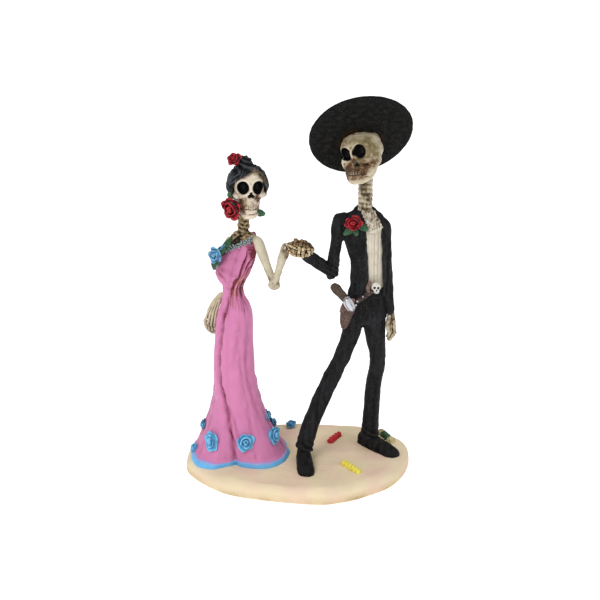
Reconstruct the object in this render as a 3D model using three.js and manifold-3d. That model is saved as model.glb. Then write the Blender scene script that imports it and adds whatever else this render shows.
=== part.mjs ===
// A painted resin ornament, cast in one: a skeleton bride and groom, hand in hand on a patch of sand.
// Millimetres, +Z up, +X to the groom's side, -Y to the front, origin on the underside.
import * as THREE from "three";
import { mergeVertices } from "three/addons/utils/BufferGeometryUtils.js";
import Module from "manifold-3d";

const wasm = await Module();
wasm.setup();

// Driving dimensions
const sandLength = 120;
const sandWidth = 84;
const sandThickness = 8.5;
const sandRipple = 0.35;
const standingApart = 58; // between the two standing places
const herHeight = 166; // sand to the top of her bun
const hisHeight = 181; // sand to the crown of his skull
const brimDiameter = 54;
const brimThickness = 1.8;
const brimLift = 1; // how far the rim turns up
const hatHeight = 21; // brim to the top of the crown
const shoeLength = 27;
const shoeWidth = 9;
const beltWidth = 3.4;
const beltThickness = 0.9;
const trimThickness = 1.1; // the rib along her neckline
const hemRose = 4.7; // radius
const cheekRose = 5.4;
const bunRose = 3.6;
const breastRose = 5.2;
const lapelRose = 4.7;
const rootDepth = 2.5; // how deep hem and shoes go into the sand

const vec = (x, y, z) => new THREE.Vector3(x, y, z);
const degrees = THREE.MathUtils.degToRad;
const down = vec(0, 0, -1);
const back = vec(0, 1, 0);

// Each figure is drawn in its own coordinates, from where it stands on the sand, and grows with its height.
const herStand = vec(-standingApart / 2 - 3, 6, sandThickness);
const hisStand = vec(standingApart / 2 - 3, 3, sandThickness);
const herUnit = herHeight / 166;
const hisUnit = hisHeight / 181;
const her = (x, y, z) => vec(x, y, z).multiplyScalar(herUnit).add(herStand);
const his = (x, y, z) => vec(x, y, z).multiplyScalar(hisUnit).add(hisStand);

// A closed skin over a row of rings, each a list of points in the same order, with a point at each end.
function skin(rings) {
  const sides = rings[0].length;
  const points = rings.flat();
  const faces = [];
  for (let r = 0; r + 1 < rings.length; r++)
    for (let s = 0; s < sides; s++) {
      const a = r * sides + s;
      const b = r * sides + ((s + 1) % sides);
      faces.push(a, b, b + sides, a, b + sides, a + sides);
    }
  for (const [ring, first, turned] of [
    [rings[0], 0, true],
    [rings.at(-1), points.length - sides, false],
  ]) {
    const middle = points.length;
    points.push(ring.reduce((sum, p) => sum.add(p), vec(0, 0, 0)).divideScalar(sides));
    for (let s = 0; s < sides; s++) {
      const a = first + s;
      const b = first + ((s + 1) % sides);
      faces.push(middle, ...(turned ? [b, a] : [a, b]));
    }
  }
  const geometry = new THREE.BufferGeometry().setFromPoints(points);
  geometry.setIndex(faces);
  return geometry;
}

// A closed geometry as a solid that can be joined and cut.
function solid(geometry) {
  const bare = new THREE.BufferGeometry();
  bare.setAttribute("position", geometry.getAttribute("position"));
  if (geometry.index) bare.setIndex(geometry.index);
  const merged = mergeVertices(bare, 1e-4);
  const vertProperties = merged.getAttribute("position").array;
  const triVerts = new Uint32Array(merged.index.array);
  const make = () => new wasm.Manifold(new wasm.Mesh({ numProp: 3, vertProperties, triVerts }));
  const made = make();
  if (made.volume() > 0) return made;
  triVerts.reverse();
  return make();
}

const joined = (solids) => solids.reduce((sum, piece) => sum.add(piece));

// Reads a column of a table of stations at a height between two of them.
function at(table, key, column) {
  const next = table.findIndex((row) => row[0] >= key);
  if (next === 0) return table[0][column];
  if (next < 0) return table.at(-1)[column];
  const [low, high] = [table[next - 1], table[next]];
  return THREE.MathUtils.mapLinear(key, low[0], high[0], low[column], high[column]);
}

// A tube with its own width and depth at each point. The depth lies along ref as far as the path lets it.
function limb(points, sizes, { sides = 10, steps = 3, ref = back } = {}) {
  const curve = new THREE.CatmullRomCurve3(points);
  const count = (points.length - 1) * steps;
  const table = sizes.map((size, i) => [i, ...[size].flat(), ...[size].flat()]);
  const rings = [];
  for (let i = 0; i <= count; i++) {
    const along = curve.getTangent(i / count);
    const across = vec(0, 0, 0).crossVectors(along, ref).normalize();
    const through = vec(0, 0, 0).crossVectors(along, across);
    const wide = at(table, i / steps, 1);
    const deep = at(table, i / steps, 2);
    const centre = curve.getPoint(i / count);
    rings.push(
      Array.from({ length: sides }, (_, s) => {
        const turn = (2 * Math.PI * s) / sides;
        return centre
          .clone()
          .addScaledVector(across, wide * Math.cos(turn))
          .addScaledVector(through, deep * Math.sin(turn));
      }),
    );
  }
  return solid(skin(rings));
}

// A tube from one end to the other in one straight run.
const bone = (from, to, startSize, endSize, options) =>
  limb([from, to], [startSize, endSize], { sides: 8, steps: 1, ...options });

function ball(centre, radii, { across = 12, turn = 0, tip = 0 } = {}) {
  const geometry = new THREE.SphereGeometry(1, across, Math.ceil(across * 0.6));
  geometry.rotateX(Math.PI / 2).scale(...radii);
  geometry.rotateX(tip).rotateZ(turn);
  return solid(geometry.translate(centre.x, centre.y, centre.z));
}

// A frame whose z axis points along a direction, at a place.
function facing(direction, place) {
  const turn = new THREE.Quaternion().setFromUnitVectors(vec(0, 0, 1), direction.clone().normalize());
  return new THREE.Matrix4().compose(place, turn, vec(1, 1, 1));
}

// A rose: rows of open petals round a heart, as rings whose radius swells with each petal.
const fullRose = [
  // share of the radius, height, how far the petals stand out, petal offset
  [0.5, -0.7, 0, 0],
  [1.02, 0, 0.14, 0],
  [0.76, 0.16, 0.05, 0],
  [0.62, 0.44, 0.14, 0.5],
  [0.32, 0.36, 0, 0.5],
];
const flatRose = [
  [1.02, -0.1, 0.14, 0],
  [0.6, 0.34, 0.14, 0.5],
];
function rose(place, direction, radius, { petals = 5, sides = 10, stretch = 1, rows = fullRose } = {}) {
  const frame = facing(direction, place);
  const rings = rows.map(([share, height, swell, offset]) =>
    Array.from({ length: sides }, (_, s) => {
      const turn = (2 * Math.PI * s) / sides;
      const reach = radius * share * (1 + swell * Math.cos(petals * (turn + (2 * Math.PI * offset) / petals)));
      return vec(reach * Math.cos(turn), reach * stretch * Math.sin(turn), radius * height).applyMatrix4(frame);
    }),
  );
  return solid(skin(rings));
}

// A leaf: a flat lozenge with a raised midrib, from its stalk towards its tip.
function leaf(stalk, tip, up, width, thickness = 0.9) {
  const along = tip.clone().sub(stalk);
  const across = vec(0, 0, 0).crossVectors(up, along).normalize();
  const through = up.clone().normalize();
  const rings = [
    [0, 0.2],
    [0.45, 1],
    [1, 0.1],
  ].map(([share, broad]) =>
    [
      [0.5, 0],
      [0, 1],
      [-0.5, 0],
      [0, -0.6],
    ].map(([side, rise]) =>
      stalk
        .clone()
        .addScaledVector(along, share)
        .addScaledVector(across, side * width * broad)
        .addScaledVector(through, rise * thickness * (0.4 + 0.6 * broad)),
    ),
  );
  return solid(skin(rings));
}

// The sand: a rounded slab with a flat underside and a rippled top. The outline is in shares of half its size.
const sandOutline = [
  [-1, 0.16],
  [-0.96, -0.21],
  [-0.66, -0.69],
  [-0.25, -0.9],
  [0.17, -1],
  [0.4, -0.93],
  [0.61, -0.77],
  [0.82, -0.52],
  [0.96, -0.13],
  [1, 0.3],
  [0.92, 0.6],
  [0.62, 0.91],
  [0.2, 0.99],
  [-0.25, 0.99],
  [-0.65, 0.91],
  [-0.92, 0.6],
];
function sand() {
  const sides = 28;
  const edge = new THREE.CatmullRomCurve3(
    sandOutline.map(([x, y]) => vec((x * sandLength) / 2, (y * sandWidth) / 2, 0)),
    true,
  );
  const ripple = (p) => sandRipple * (Math.sin(p.x / 9 + 1) * Math.cos(p.y / 7) + Math.sin((p.x + p.y) / 5) / 2);
  const half = sandWidth / 2;
  const rings = [
    // how far in from the edge, and the height as a share of the thickness
    [1.4, 0],
    [0, 0.2],
    [0.2, 0.55],
    [1.8, 0.86],
    [4.6, 1],
    [20, 1],
  ].map(([inset, rise]) =>
    Array.from({ length: sides }, (_, s) => {
      const p = edge.getPoint(s / sides).multiplyScalar(1 - inset / half);
      p.z = sandThickness * rise + (rise < 1 ? 0 : ripple(p));
      return p;
    }),
  );
  return solid(skin(rings));
}

// The gown. Each station is a height above the sand, a middle, two half widths and a turn of the section.
const gownStations = [
  [-rootDepth, 0.5, 0.8, 25.2, 23.9, 0],
  [1, 0.4, 0.8, 24.8, 23.5, 0],
  [5, 0.1, 1, 22.8, 21.5, 0],
  [11, 0.1, 1, 20.2, 19.2, 0],
  [18.5, -0.7, 1, 17.1, 16, 0],
  [27.5, -0.7, 0.8, 14.6, 13.2, 0],
  [41.5, -1.4, 0.5, 12.1, 11, 0],
  [71.5, -1.6, 0.2, 10, 9.8, 0],
  [79.5, -1.3, 0.4, 9.3, 9.1, -5],
  [85.5, -1.1, 0.4, 7.9, 7.4, -10],
  [90.5, -1.8, 0.3, 6, 5.9, -20],
  [94.5, -2, 0.2, 5.6, 5.5, -30],
  [99.5, -1.8, 0.2, 7.2, 6, -38],
  [104, -0.8, 0.5, 9.1, 6.6, -40],
  [112, 1.4, 0.8, 10.2, 6.2, -40],
  [118.5, 3, 0.2, 8.8, 4.8, -40],
  [122.5, 3.6, 0.2, 6.6, 3.8, -38],
  [125, 3.2, 0.8, 3.6, 3, -30],
];
// Creases of the gown: depth and breadth, and the way each one runs as height and direction in degrees. One that
// stands out instead has a depth below zero.
const gownCreases = [
  {
    depth: -4.4,
    breadth: 28,
    run: [
      [96, -152],
      [121, -148],
    ],
  },
  {
    depth: -3.8,
    breadth: 26,
    run: [
      [96, -84],
      [115, -84],
    ],
  },
  {
    depth: 1.7,
    breadth: 9,
    run: [
      [-rootDepth, -92],
      [9, -95],
      [21, -105],
      [34, -117],
      [46, -134],
      [62, -137],
      [70, -130],
      [82, -111],
    ],
  },
  {
    depth: 0.9,
    breadth: 12,
    run: [
      [26, -72],
      [50, -64],
      [72, -60],
    ],
  },
  {
    depth: 0.8,
    breadth: 10,
    run: [
      [14, -40],
      [40, -36],
      [60, -34],
    ],
  },
  {
    depth: 1,
    breadth: 8,
    run: [
      [86, -70],
      [94, -62],
      [104, -40],
      [113, -22],
    ],
  },
  {
    depth: 0.8,
    breadth: 8,
    run: [
      [84, -50],
      [94, -38],
      [103, -18],
    ],
  },
  ...[-175, 150, 112, 80, 42, 4].map((way, i) => ({
    depth: 1.3,
    breadth: 11,
    run: [
      [-rootDepth, way],
      [30, way + 4],
      [48 + 6 * (i % 2), way + 6],
    ],
  })),
];
// The hem waves in and out: a direction in degrees and a share of the plain outline. It dies away up the skirt.
const hemWave = [
  [-180, 1.02],
  [-158, 1.08],
  [-138, 1.14],
  [-122, 1.12],
  [-108, 0.93],
  [-96, 0.82],
  [-76, 0.95],
  [-60, 1.11],
  [-42, 1.15],
  [-20, 1.1],
  [0, 1.06],
  [40, 1],
  [100, 1.04],
  [140, 0.98],
  [180, 1.02],
];
const waveHeight = 34;
function waved(height, way) {
  const share = Math.min(1, Math.max(0, 1 - height / waveHeight)) ** 1.4;
  return 1 + share * (at(hemWave, way, 1) - 1);
}
// How far the creases take the surface in at a height and direction.
function creased(height, way) {
  let depth = 0;
  for (const crease of gownCreases) {
    const [from, to] = [crease.run[0][0], crease.run.at(-1)[0]];
    if (height < from || height > to) continue;
    const away = THREE.MathUtils.euclideanModulo(way - at(crease.run, height, 1) + 180, 360) - 180;
    const ends = Math.min(1, (to - height) / 12, from < 0 ? 1 : (height - from) / 8);
    depth += crease.depth * ends * Math.exp(-((away / crease.breadth) ** 2));
  }
  return depth;
}
function gownPoint(height, turn, swell = 0) {
  const [x, y, wide, deep, twist] = [1, 2, 3, 4, 5].map((column) => at(gownStations, height, column));
  const p = vec((wide + swell) * Math.cos(turn), (deep + swell) * Math.sin(turn), 0);
  p.applyAxisAngle(vec(0, 0, 1), degrees(twist));
  const way = THREE.MathUtils.radToDeg(Math.atan2(p.y, p.x));
  p.multiplyScalar(waved(height, way) - creased(height, way) / p.length());
  return her(p.x + x, p.y + y, height);
}
// The point of the gown's skin that lies in a direction, in degrees, from the middle of its section.
const gownAt = (height, way, swell) =>
  gownPoint(height, degrees(way - at(gownStations, height, 5)), swell);

function gown() {
  const sides = 22;
  const rings = gownStations.map(([height]) =>
    Array.from({ length: sides }, (_, s) => gownPoint(height, (2 * Math.PI * s) / sides)),
  );
  const trim = limb(
    [
      gownAt(109, -160, 0.2),
      gownAt(112, -110, 0.2),
      gownAt(116, -76, 0.2),
      gownAt(121, -56, 0.3),
      her(6.4, -1.4, 124.4),
    ],
    Array(5).fill(trimThickness),
    { sides: 3, steps: 1 },
  );
  return solid(skin(rings)).add(trim);
}

// Roses round the hem, as height and direction, and the one that has dropped on the sand.
const hemRoses = [
  [12.4, -133, 1],
  [12.6, -80, 1.04],
  [12.6, -26, 1.04],
  [2.2, -180, 0.66],
  [15.5, 178, 0.72],
  [22.5, -4, 0.75],
  [14, 8, 0.8],
  [12.5, 55, 0.9],
  [12.5, 120, 0.9],
];
const flat = { rows: flatRose };
function gownRoses() {
  const roses = hemRoses.map(([height, way, size]) => {
    const out = vec(Math.cos(degrees(way)), Math.sin(degrees(way)), 0.45);
    return rose(gownAt(height, way, 0), out, hemRose * size, flat);
  });
  const dropped = vec(-4, 35, sandThickness + 1.4);
  roses.push(rose(dropped, vec(-0.2, -0.5, 1), hemRose * 0.62, flat));
  const breast = her(-9.6, -4, 114.6);
  const outward = vec(-0.75, -0.7, 0.25);
  roses.push(
    rose(breast, outward, breastRose),
    rose(gownAt(119, -130, 0.3), vec(-0.4, -0.8, 0.5), breastRose * 0.6, flat),
    leaf(gownAt(112, -150, 0.6), gownAt(115.5, -100, 0.9), vec(-0.2, -1, 0.6), 4.2),
    leaf(gownAt(115, -140, 0.4), gownAt(120, -90, 0.6), vec(-0.2, -1, 0.6), 4),
  );
  return joined(roses);
}

// A skull, chin at z 0 and crown at z 26, facing -Y. Stations: height, half width, front and back.
const skullTall = 26;
const skullStations = [
  [0, 3, -8.4, -4.2],
  [1.4, 4.3, -9.2, -2.6],
  [5, 4.7, -9.5, -0.8],
  [7.8, 5.2, -9.9, 1.4],
  [9.6, 7.2, -9.4, 4.6],
  [11.4, 8.3, -9, 7.6],
  [15, 8.4, -8.9, 10],
  [19, 8.8, -9.1, 10.6],
  [22.2, 7.9, -7.6, 9.6],
  [24.6, 5.4, -4.4, 7],
  [26, 1.8, -0.6, 3],
];
const eye = { apart: 7.9, height: 14.8, radius: 3.3 };
function skull(height, place, { turn, roll, nod, length = 1 }) {
  const sides = 12;
  const rings = skullStations.map(([z, wide, front, rear]) => {
    const middle = (front + rear * length) / 2;
    const deep = (rear * length - front) / 2;
    return Array.from({ length: sides }, (_, s) => {
      const way = (2 * Math.PI * s) / sides;
      const square = 1 + 0.06 * Math.sin(2 * way) ** 2;
      return vec(wide * square * Math.cos(way), middle + deep * square * Math.sin(way), z);
    });
  });
  const holes = [-1, 1].map((side) =>
    ball(vec((side * eye.apart) / 2, -9, eye.height), [eye.radius, 4.8, eye.radius * 1.06], { across: 7 }),
  );
  const noseHole = limb(
    [vec(0, -11.4, 10), vec(0, -8, 10.8)],
    [
      [1.5, 1.8],
      [0.8, 1.1],
    ],
    { sides: 3, steps: 1, ref: vec(0, 0, 1) },
  );
  const teeth = [-1.5, -0.5, 0.5, 1.5].map((n) => {
    const root = vec(n * 1.6, -9.3 + 0.3 * n * n, 3.2);
    return bone(root, root.clone().add(vec(0, 0, 4.8)), 0.7, 0.7, { sides: 4, ref: vec(1, 1, 0) });
  });
  const cheeks = [-1, 1].map((side) =>
    bone(vec(side * 5.2, -8.4, 10), vec(side * 8.3, -0.6, 11.4), 1.2, 0.9, { sides: 4, ref: vec(0, 0, 1) }),
  );
  const made = joined([solid(skin(rings)).subtract(joined([...holes, noseHole])), ...teeth, ...cheeks]);
  return moved(made, headFrame(height, place, { turn, roll, nod }));
}
// From a head's own coordinates to the group's.
function headFrame(height, place, { turn, roll, nod }) {
  const pose = new THREE.Quaternion().setFromEuler(
    new THREE.Euler(degrees(nod), degrees(roll), degrees(turn), "ZXY"),
  );
  const size = height / skullTall;
  return new THREE.Matrix4().compose(place, pose, vec(size, size, size));
}
// A solid carried through a frame.
function moved(piece, frame) {
  const mesh = piece.getMesh();
  const points = [];
  for (let i = 0; i < mesh.numVert; i++) {
    const [x, y, z] = mesh.vertProperties.subarray(i * mesh.numProp);
    points.push(vec(x, y, z).applyMatrix4(frame));
  }
  const geometry = new THREE.BufferGeometry().setFromPoints(points);
  geometry.setIndex([...mesh.triVerts]);
  return solid(geometry);
}

// A neck of stacked vertebrae between two points.
function neck(from, to, radius, rings) {
  const count = rings * 2;
  const points = Array.from({ length: count + 1 }, (_, i) => from.clone().lerp(to, i / count));
  const sizes = points.map((_, i) => radius * (i % 2 ? 1 : 0.8));
  return limb(points, sizes, { sides: 7, steps: 1 });
}

// A palm from the wrist to the middle of the knuckles, and a finger from each knuckle to its tip.
function fingers(wrist, knuckles, tips, radius) {
  const middle = knuckles.reduce((sum, p) => sum.add(p), vec(0, 0, 0)).divideScalar(knuckles.length);
  const broad = knuckles[0].distanceTo(knuckles.at(-1)) / 2 + radius * 0.9;
  const palm = limb([wrist, middle], [[radius * 1.3, radius * 1.3], [broad, radius * 1.2]], {
    sides: 7,
    steps: 1,
    ref: vec(0, 0, 0).crossVectors(knuckles.at(-1).clone().sub(knuckles[0]), down).normalize(),
  });
  const rays = knuckles.map((knuckle, i) => {
    const root = knuckle.clone().lerp(tips[i], -0.5);
    return bone(root, tips[i], radius, radius * 0.75, { sides: 4 });
  });
  return joined([palm, ...rays]);
}

// Where the two hands meet: between the near shoulders, lower and further forward.
const herShoulder = her(11, -6.5, 120.5);
const hisShoulder = his(-4.4, 0, 132.5);
const clasp = herShoulder.clone().add(hisShoulder).divideScalar(2).add(vec(0.2, -5.5, -6.2));

// Her head
const herChin = her(6.4, 0.4, 134.9);
const herHeadHeight = 25.8 * herUnit;
const herPose = { turn: 8, roll: 0, nod: 0 };
const herHead = headFrame(herHeadHeight, herChin, herPose);
const inHerHead = (x, y, z) => vec(x, y, z).applyMatrix4(herHead);
const turnedWith = (frame, x, y, z) => vec(x, y, z).transformDirection(frame);

function herHair() {
  const face = new THREE.Shape();
  face.moveTo(-5, -2);
  face.lineTo(-9.2, 10);
  face.quadraticCurveTo(-9, 15, -6.4, 18.6);
  face.quadraticCurveTo(-2, 22, 1.4, 24.6);
  face.quadraticCurveTo(6.4, 22, 8.6, 16.4);
  face.lineTo(8.4, 10);
  face.lineTo(5, -2);
  const opening = new THREE.ExtrudeGeometry(face, { depth: 20, bevelEnabled: false, curveSegments: 2 });
  opening.rotateX(Math.PI / 2).translate(0, -2.6, 0);
  const nape = new THREE.BoxGeometry(40, 40, 20).rotateX(-0.2).translate(0, 0, -0.6);
  const cap = ball(vec(-0.1, 1.2, 16), [11, 12, 10.9], { across: 13 })
    .subtract(solid(opening))
    .subtract(solid(nape));
  const bun = ball(vec(-1.4, 4.4, 26.4), [4.2, 4.6, 3.8], { across: 8 });
  const coil = bone(vec(-1.4, 4.2, 23), vec(-1.4, 4.3, 25), 5.6, 5, { sides: 8 });
  return moved(joined([cap, bun, coil]), herHead);
}

const slim = { sides: 6, steps: 1 };
// The place a little further on from one point past another.
const past = (from, to, further) => to.clone().addScaledVector(to.clone().sub(from).normalize(), further);
function herArms() {
  const elbow = herShoulder.clone().lerp(clasp, 0.4).add(vec(0, 2.5, -22.6).multiplyScalar(herUnit));
  const wrist = clasp.clone().add(vec(-8.2, 1, -4.6).multiplyScalar(herUnit));
  const near = [
    limb(
      [her(8.6, -4.6, 121.4), herShoulder, herShoulder.clone().lerp(elbow, 0.55), elbow, past(herShoulder, elbow, 2)],
      [2.6, 3.3, 2, 3.2, 2.6].map((r) => r * herUnit),
      slim,
    ),
    limb([past(wrist, elbow, 1.6), elbow.clone().lerp(wrist, 0.45), wrist], [2.8, 1.9, 2.3].map((r) => r * herUnit), slim),
  ];
  const farShoulder = her(-3.6, 7.4, 117);
  const farElbow = her(-1, 17, 97);
  const farWrist = her(-7.6, 8.6, 87.6);
  const far = [
    limb([her(0.5, 4, 118.6), farShoulder, farElbow], [2.2, 2.7, 2.4].map((r) => r * herUnit), slim),
    limb([farElbow, farWrist], [2.6, 2.2].map((r) => r * herUnit), slim),
  ];
  const knuckles = [-1.5, -0.5, 0.5, 1.5].map((n) => her(-13 + 2.3 * n, 6.4 - 0.5 * n * n, 78.4 + 0.9 * n));
  const tips = [-1.5, -0.5, 0.5, 1.5].map((n) => her(-12.4 + 2.1 * n, 3.4, 67 + 0.9 * n * n));
  return joined([...near, ...far, fingers(farWrist, knuckles, tips, 1.5 * herUnit)]);
}

// His head, and the hat that frames it from behind
const hisChin = his(6.8, -1.7, 155.4);
const hisHeadHeight = 25.8 * hisUnit;
const hisPose = { turn: -34, roll: -9, nod: 0 };
const hisHead = headFrame(hisHeadHeight, hisChin, hisPose);
const hatPlace = his(6.2, 2, 177.6);
const hatWay = vec(-0.18, 0.86, 0.48).normalize();

function hat() {
  const rim = brimDiameter / 2;
  const profile = [
    [0, -brimThickness / 2],
    [rim * 0.86, -brimThickness / 2 + 0.2],
    [rim - 0.3, brimLift - brimThickness / 2],
    [rim, brimLift],
    [rim - 0.5, brimLift + brimThickness / 2],
    [rim * 0.84, brimThickness / 2 + 0.3],
    [12.8, brimThickness / 2],
    [11.5, hatHeight * 0.3],
    [8.2, hatHeight * 0.86],
    [5, hatHeight],
    [0, hatHeight * 0.95],
  ].map(([r, z]) => new THREE.Vector2(r, z));
  const round = solid(new THREE.LatheGeometry(profile, 24).rotateX(Math.PI / 2));
  return moved(round, facing(hatWay, hatPlace));
}

// His suit. Stations: height above the sand, middle, half widths.
const suitStations = [
  [76.5, 8, 0.4, 11, 5.8],
  [80, 8.3, 0.2, 12, 6.8],
  [90, 9.5, -0.2, 10.6, 6.1],
  [98, 10.3, 0, 9.5, 5.6],
  [110, 10.8, 0.4, 9.6, 6.8],
  [120, 9.6, 0.5, 11.2, 7.2],
  [130.5, 7, 0.5, 12.8, 6],
  [134.5, 7.3, 0.6, 10.6, 5.1],
  [139.5, 8.2, 0.8, 4.6, 4],
];
function suitSkin(swell, sides = 14) {
  return solid(
    skin(
      suitStations.map(([z, x, y, wide, deep]) =>
        Array.from({ length: sides }, (_, s) => {
          const way = (2 * Math.PI * s) / sides;
          return his(x + (wide + swell) * Math.cos(way), y + (deep + swell) * Math.sin(way), z);
        }),
      ),
    ),
  );
}
const hisSlab = (outline, depth, y) => {
  const shape = new THREE.Shape(outline.map(([x, z]) => new THREE.Vector2(x, z)));
  const geometry = new THREE.ExtrudeGeometry(shape, { depth, bevelEnabled: false });
  geometry.rotateX(Math.PI / 2).translate(0, y, 0).scale(hisUnit, hisUnit, hisUnit);
  return solid(geometry.translate(hisStand.x, hisStand.y, hisStand.z));
};
const shirtOutline = [
  [9.6, 92],
  [9.3, 128],
  [7, 137],
  [6.8, 142],
  [10.4, 142],
  [13.2, 135],
  [16.2, 126],
  [17.6, 112],
  [17.2, 98],
  [16, 92],
];
function suit() {
  const opening = hisSlab(shirtOutline, 20, -2);
  const jacket = suitSkin(0).subtract(opening);
  const shirt = suitSkin(-0.9, 12);
  const ruffle = ball(his(11.2, -4.3, 130.4), [2.6, 2, 3.4].map((r) => r * hisUnit), { across: 7 });
  const collar = [
    leaf(his(4.6, -1.5, 138), his(9, -6.4, 122), vec(-0.2, -1, 0.2), 5.5, 1.4),
    leaf(his(12.6, -1.5, 137), his(17, -5.8, 123), vec(0.3, -1, 0.2), 4.5, 1.4),
    limb([his(3.9, -1.8, 138.4), his(4.4, 4.2, 140.6), his(11.8, 4.4, 140.4), his(12.6, -1.4, 137.6)], [1.3, 1.7, 1.7, 1.3], {
      sides: 5,
      steps: 1,
      ref: vec(0, 0, 1),
    }),
  ];
  return joined([jacket, shirt, ruffle, ...collar]);
}

// Legs and shoes. The front foot points out of the picture, the other one to his left.
const footAngles = { front: -86, rear: -46 };
function shoe(ankle, way, length = shoeLength * hisUnit, width = shoeWidth * hisUnit) {
  const along = vec(Math.cos(degrees(way)), Math.sin(degrees(way)), 0);
  const across = vec(-along.y, along.x, 0);
  const half = width / 2;
  const rings = [
    // share of the length, half width, top height
    [-0.24, 0.66, 6],
    [-0.14, 0.86, 8.4],
    [0.34, 0.94, 5.8],
    [0.56, 1, 4.4],
    [0.72, 0.72, 3.4],
    [0.77, 0.3, 2.4],
  ].map(([share, broad, top]) =>
    [
      [-1, -rootDepth],
      [1, -rootDepth],
      [1.04, 0.8],
      [0.7, 0.8 * top],
      [0, top],
      [-0.7, 0.8 * top],
      [-1.04, 0.8],
    ].map(([side, z]) =>
      vec(ankle.x, ankle.y, sandThickness)
        .addScaledVector(along, share * length)
        .addScaledVector(across, side * half * broad)
        .add(vec(0, 0, z)),
    ),
  );
  return solid(skin(rings));
}
function legs() {
  const frontLeg = [
    [2.7, 0.2, 80],
    [1.9, -1, 71],
    [-2.6, -3, 58.5],
    [-11, -5.4, 41],
    [-18, -6.8, 24],
    [-21.6, -7.4, 12],
    [-22.9, -7.6, 6.4],
  ];
  const rearLeg = [
    [13.4, 0.6, 80],
    [14.8, 2, 67],
    [16.2, 3.8, 53],
    [14.3, 6, 38],
    [13.4, 8.2, 20],
    [13, 9.4, 10],
    [12.8, 9.6, 5.4],
  ];
  const frontSizes = [6.2, 4.9, 4.3, 4.6, 4.5, 4.6, 4.8];
  const rearSizes = [6.6, 5.2, 4.3, 4.2, 4.4, 4.7, 4.9];
  const leg = (path, sizes) =>
    limb(
      path.map((p) => his(...p)),
      sizes.map((r) => r * hisUnit),
      { sides: 8, steps: 1 },
    );
  return joined([
    leg(frontLeg, frontSizes),
    leg(rearLeg, rearSizes),
    shoe(his(...frontLeg.at(-1)), footAngles.front),
    shoe(his(...rearLeg.at(-1)), footAngles.rear),
  ]);
}

function hisArms() {
  const elbow = hisShoulder.clone().lerp(clasp, 0.13).add(vec(-1.6, 0.5, -26).multiplyScalar(hisUnit));
  const cuff = elbow.clone().lerp(clasp, 0.72).add(vec(-0.4, 0, -0.8));
  const sleeveEnd = elbow.clone().lerp(clasp, 0.8);
  const near = [
    limb(
      [his(0, 0.4, 131.5), hisShoulder, hisShoulder.clone().lerp(elbow, 0.5), elbow, past(hisShoulder, elbow, 2.6)],
      [3.8, 3.9, 3.1, 3.4, 2.2].map((r) => r * hisUnit),
      slim,
    ),
    limb([past(cuff, elbow, 1.6), cuff, sleeveEnd], [3.2, 3.1, 3].map((r) => r * hisUnit), slim),
  ];
  const far = limb(
    [
      [13, 0.6, 131],
      [17.6, 0.8, 129.5],
      [19, 1.4, 119],
      [19.8, 1.6, 105],
      [20.6, 1, 92],
      [21.4, 0.6, 81.6],
    ].map((p) => his(...p)),
    [3.6, 3.9, 3.4, 3.2, 3, 3.3].map((r) => r * hisUnit),
    slim,
  );
  const wrist = his(21.8, 0.7, 82);
  const knuckles = [-1, 0, 1].map((n) => his(22.6 + 0.3 * n, 0.8 + 2.3 * n, 75));
  const tips = [-1, 0, 1].map((n) => his(21.2, 0.6 + 2 * n, 66.4 + 0.8 * n * n));
  return joined([...near, far, fingers(wrist, knuckles, tips, 1.45 * hisUnit)]);
}

// His fingers close over hers.
function claspedHands() {
  const place = (x, y, z) => clasp.clone().add(vec(x, y, z));
  const palms = [
    limb([place(-8.4, 1, -5), place(-6, 0.6, -1.2), place(-3, 0.4, 0.4)], [2.4, 2.8, 3], slim),
    limb([place(8, 1, -2.6), place(3, 0.6, 0), place(-4, 0.4, 0.6)], [2.6, [3.4, 2.8], [3.2, 2.6]], slim),
  ];
  const over = [0, 1, 2].map((n) =>
    limb(
      [place(2 - 2.5 * n, -0.8, 3.6 - 0.5 * n), place(1.6 - 2.5 * n, -3, 0.4 - 0.3 * n), place(2.4 - 2.4 * n, -1, -3.2)],
      [1.1, 1.2, 1],
      { sides: 4, steps: 1, ref: vec(1, 0, 0.2) },
    ),
  );
  const thumb = limb(
    [place(6.8, -1.4, -1.4), place(5, -2.6, 0.2), place(3.6, -2.6, 2.6)],
    [1.4, 1.3, 1],
    { sides: 4, steps: 1 },
  );
  return joined([...palms, ...over, thumb]);
}

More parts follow.
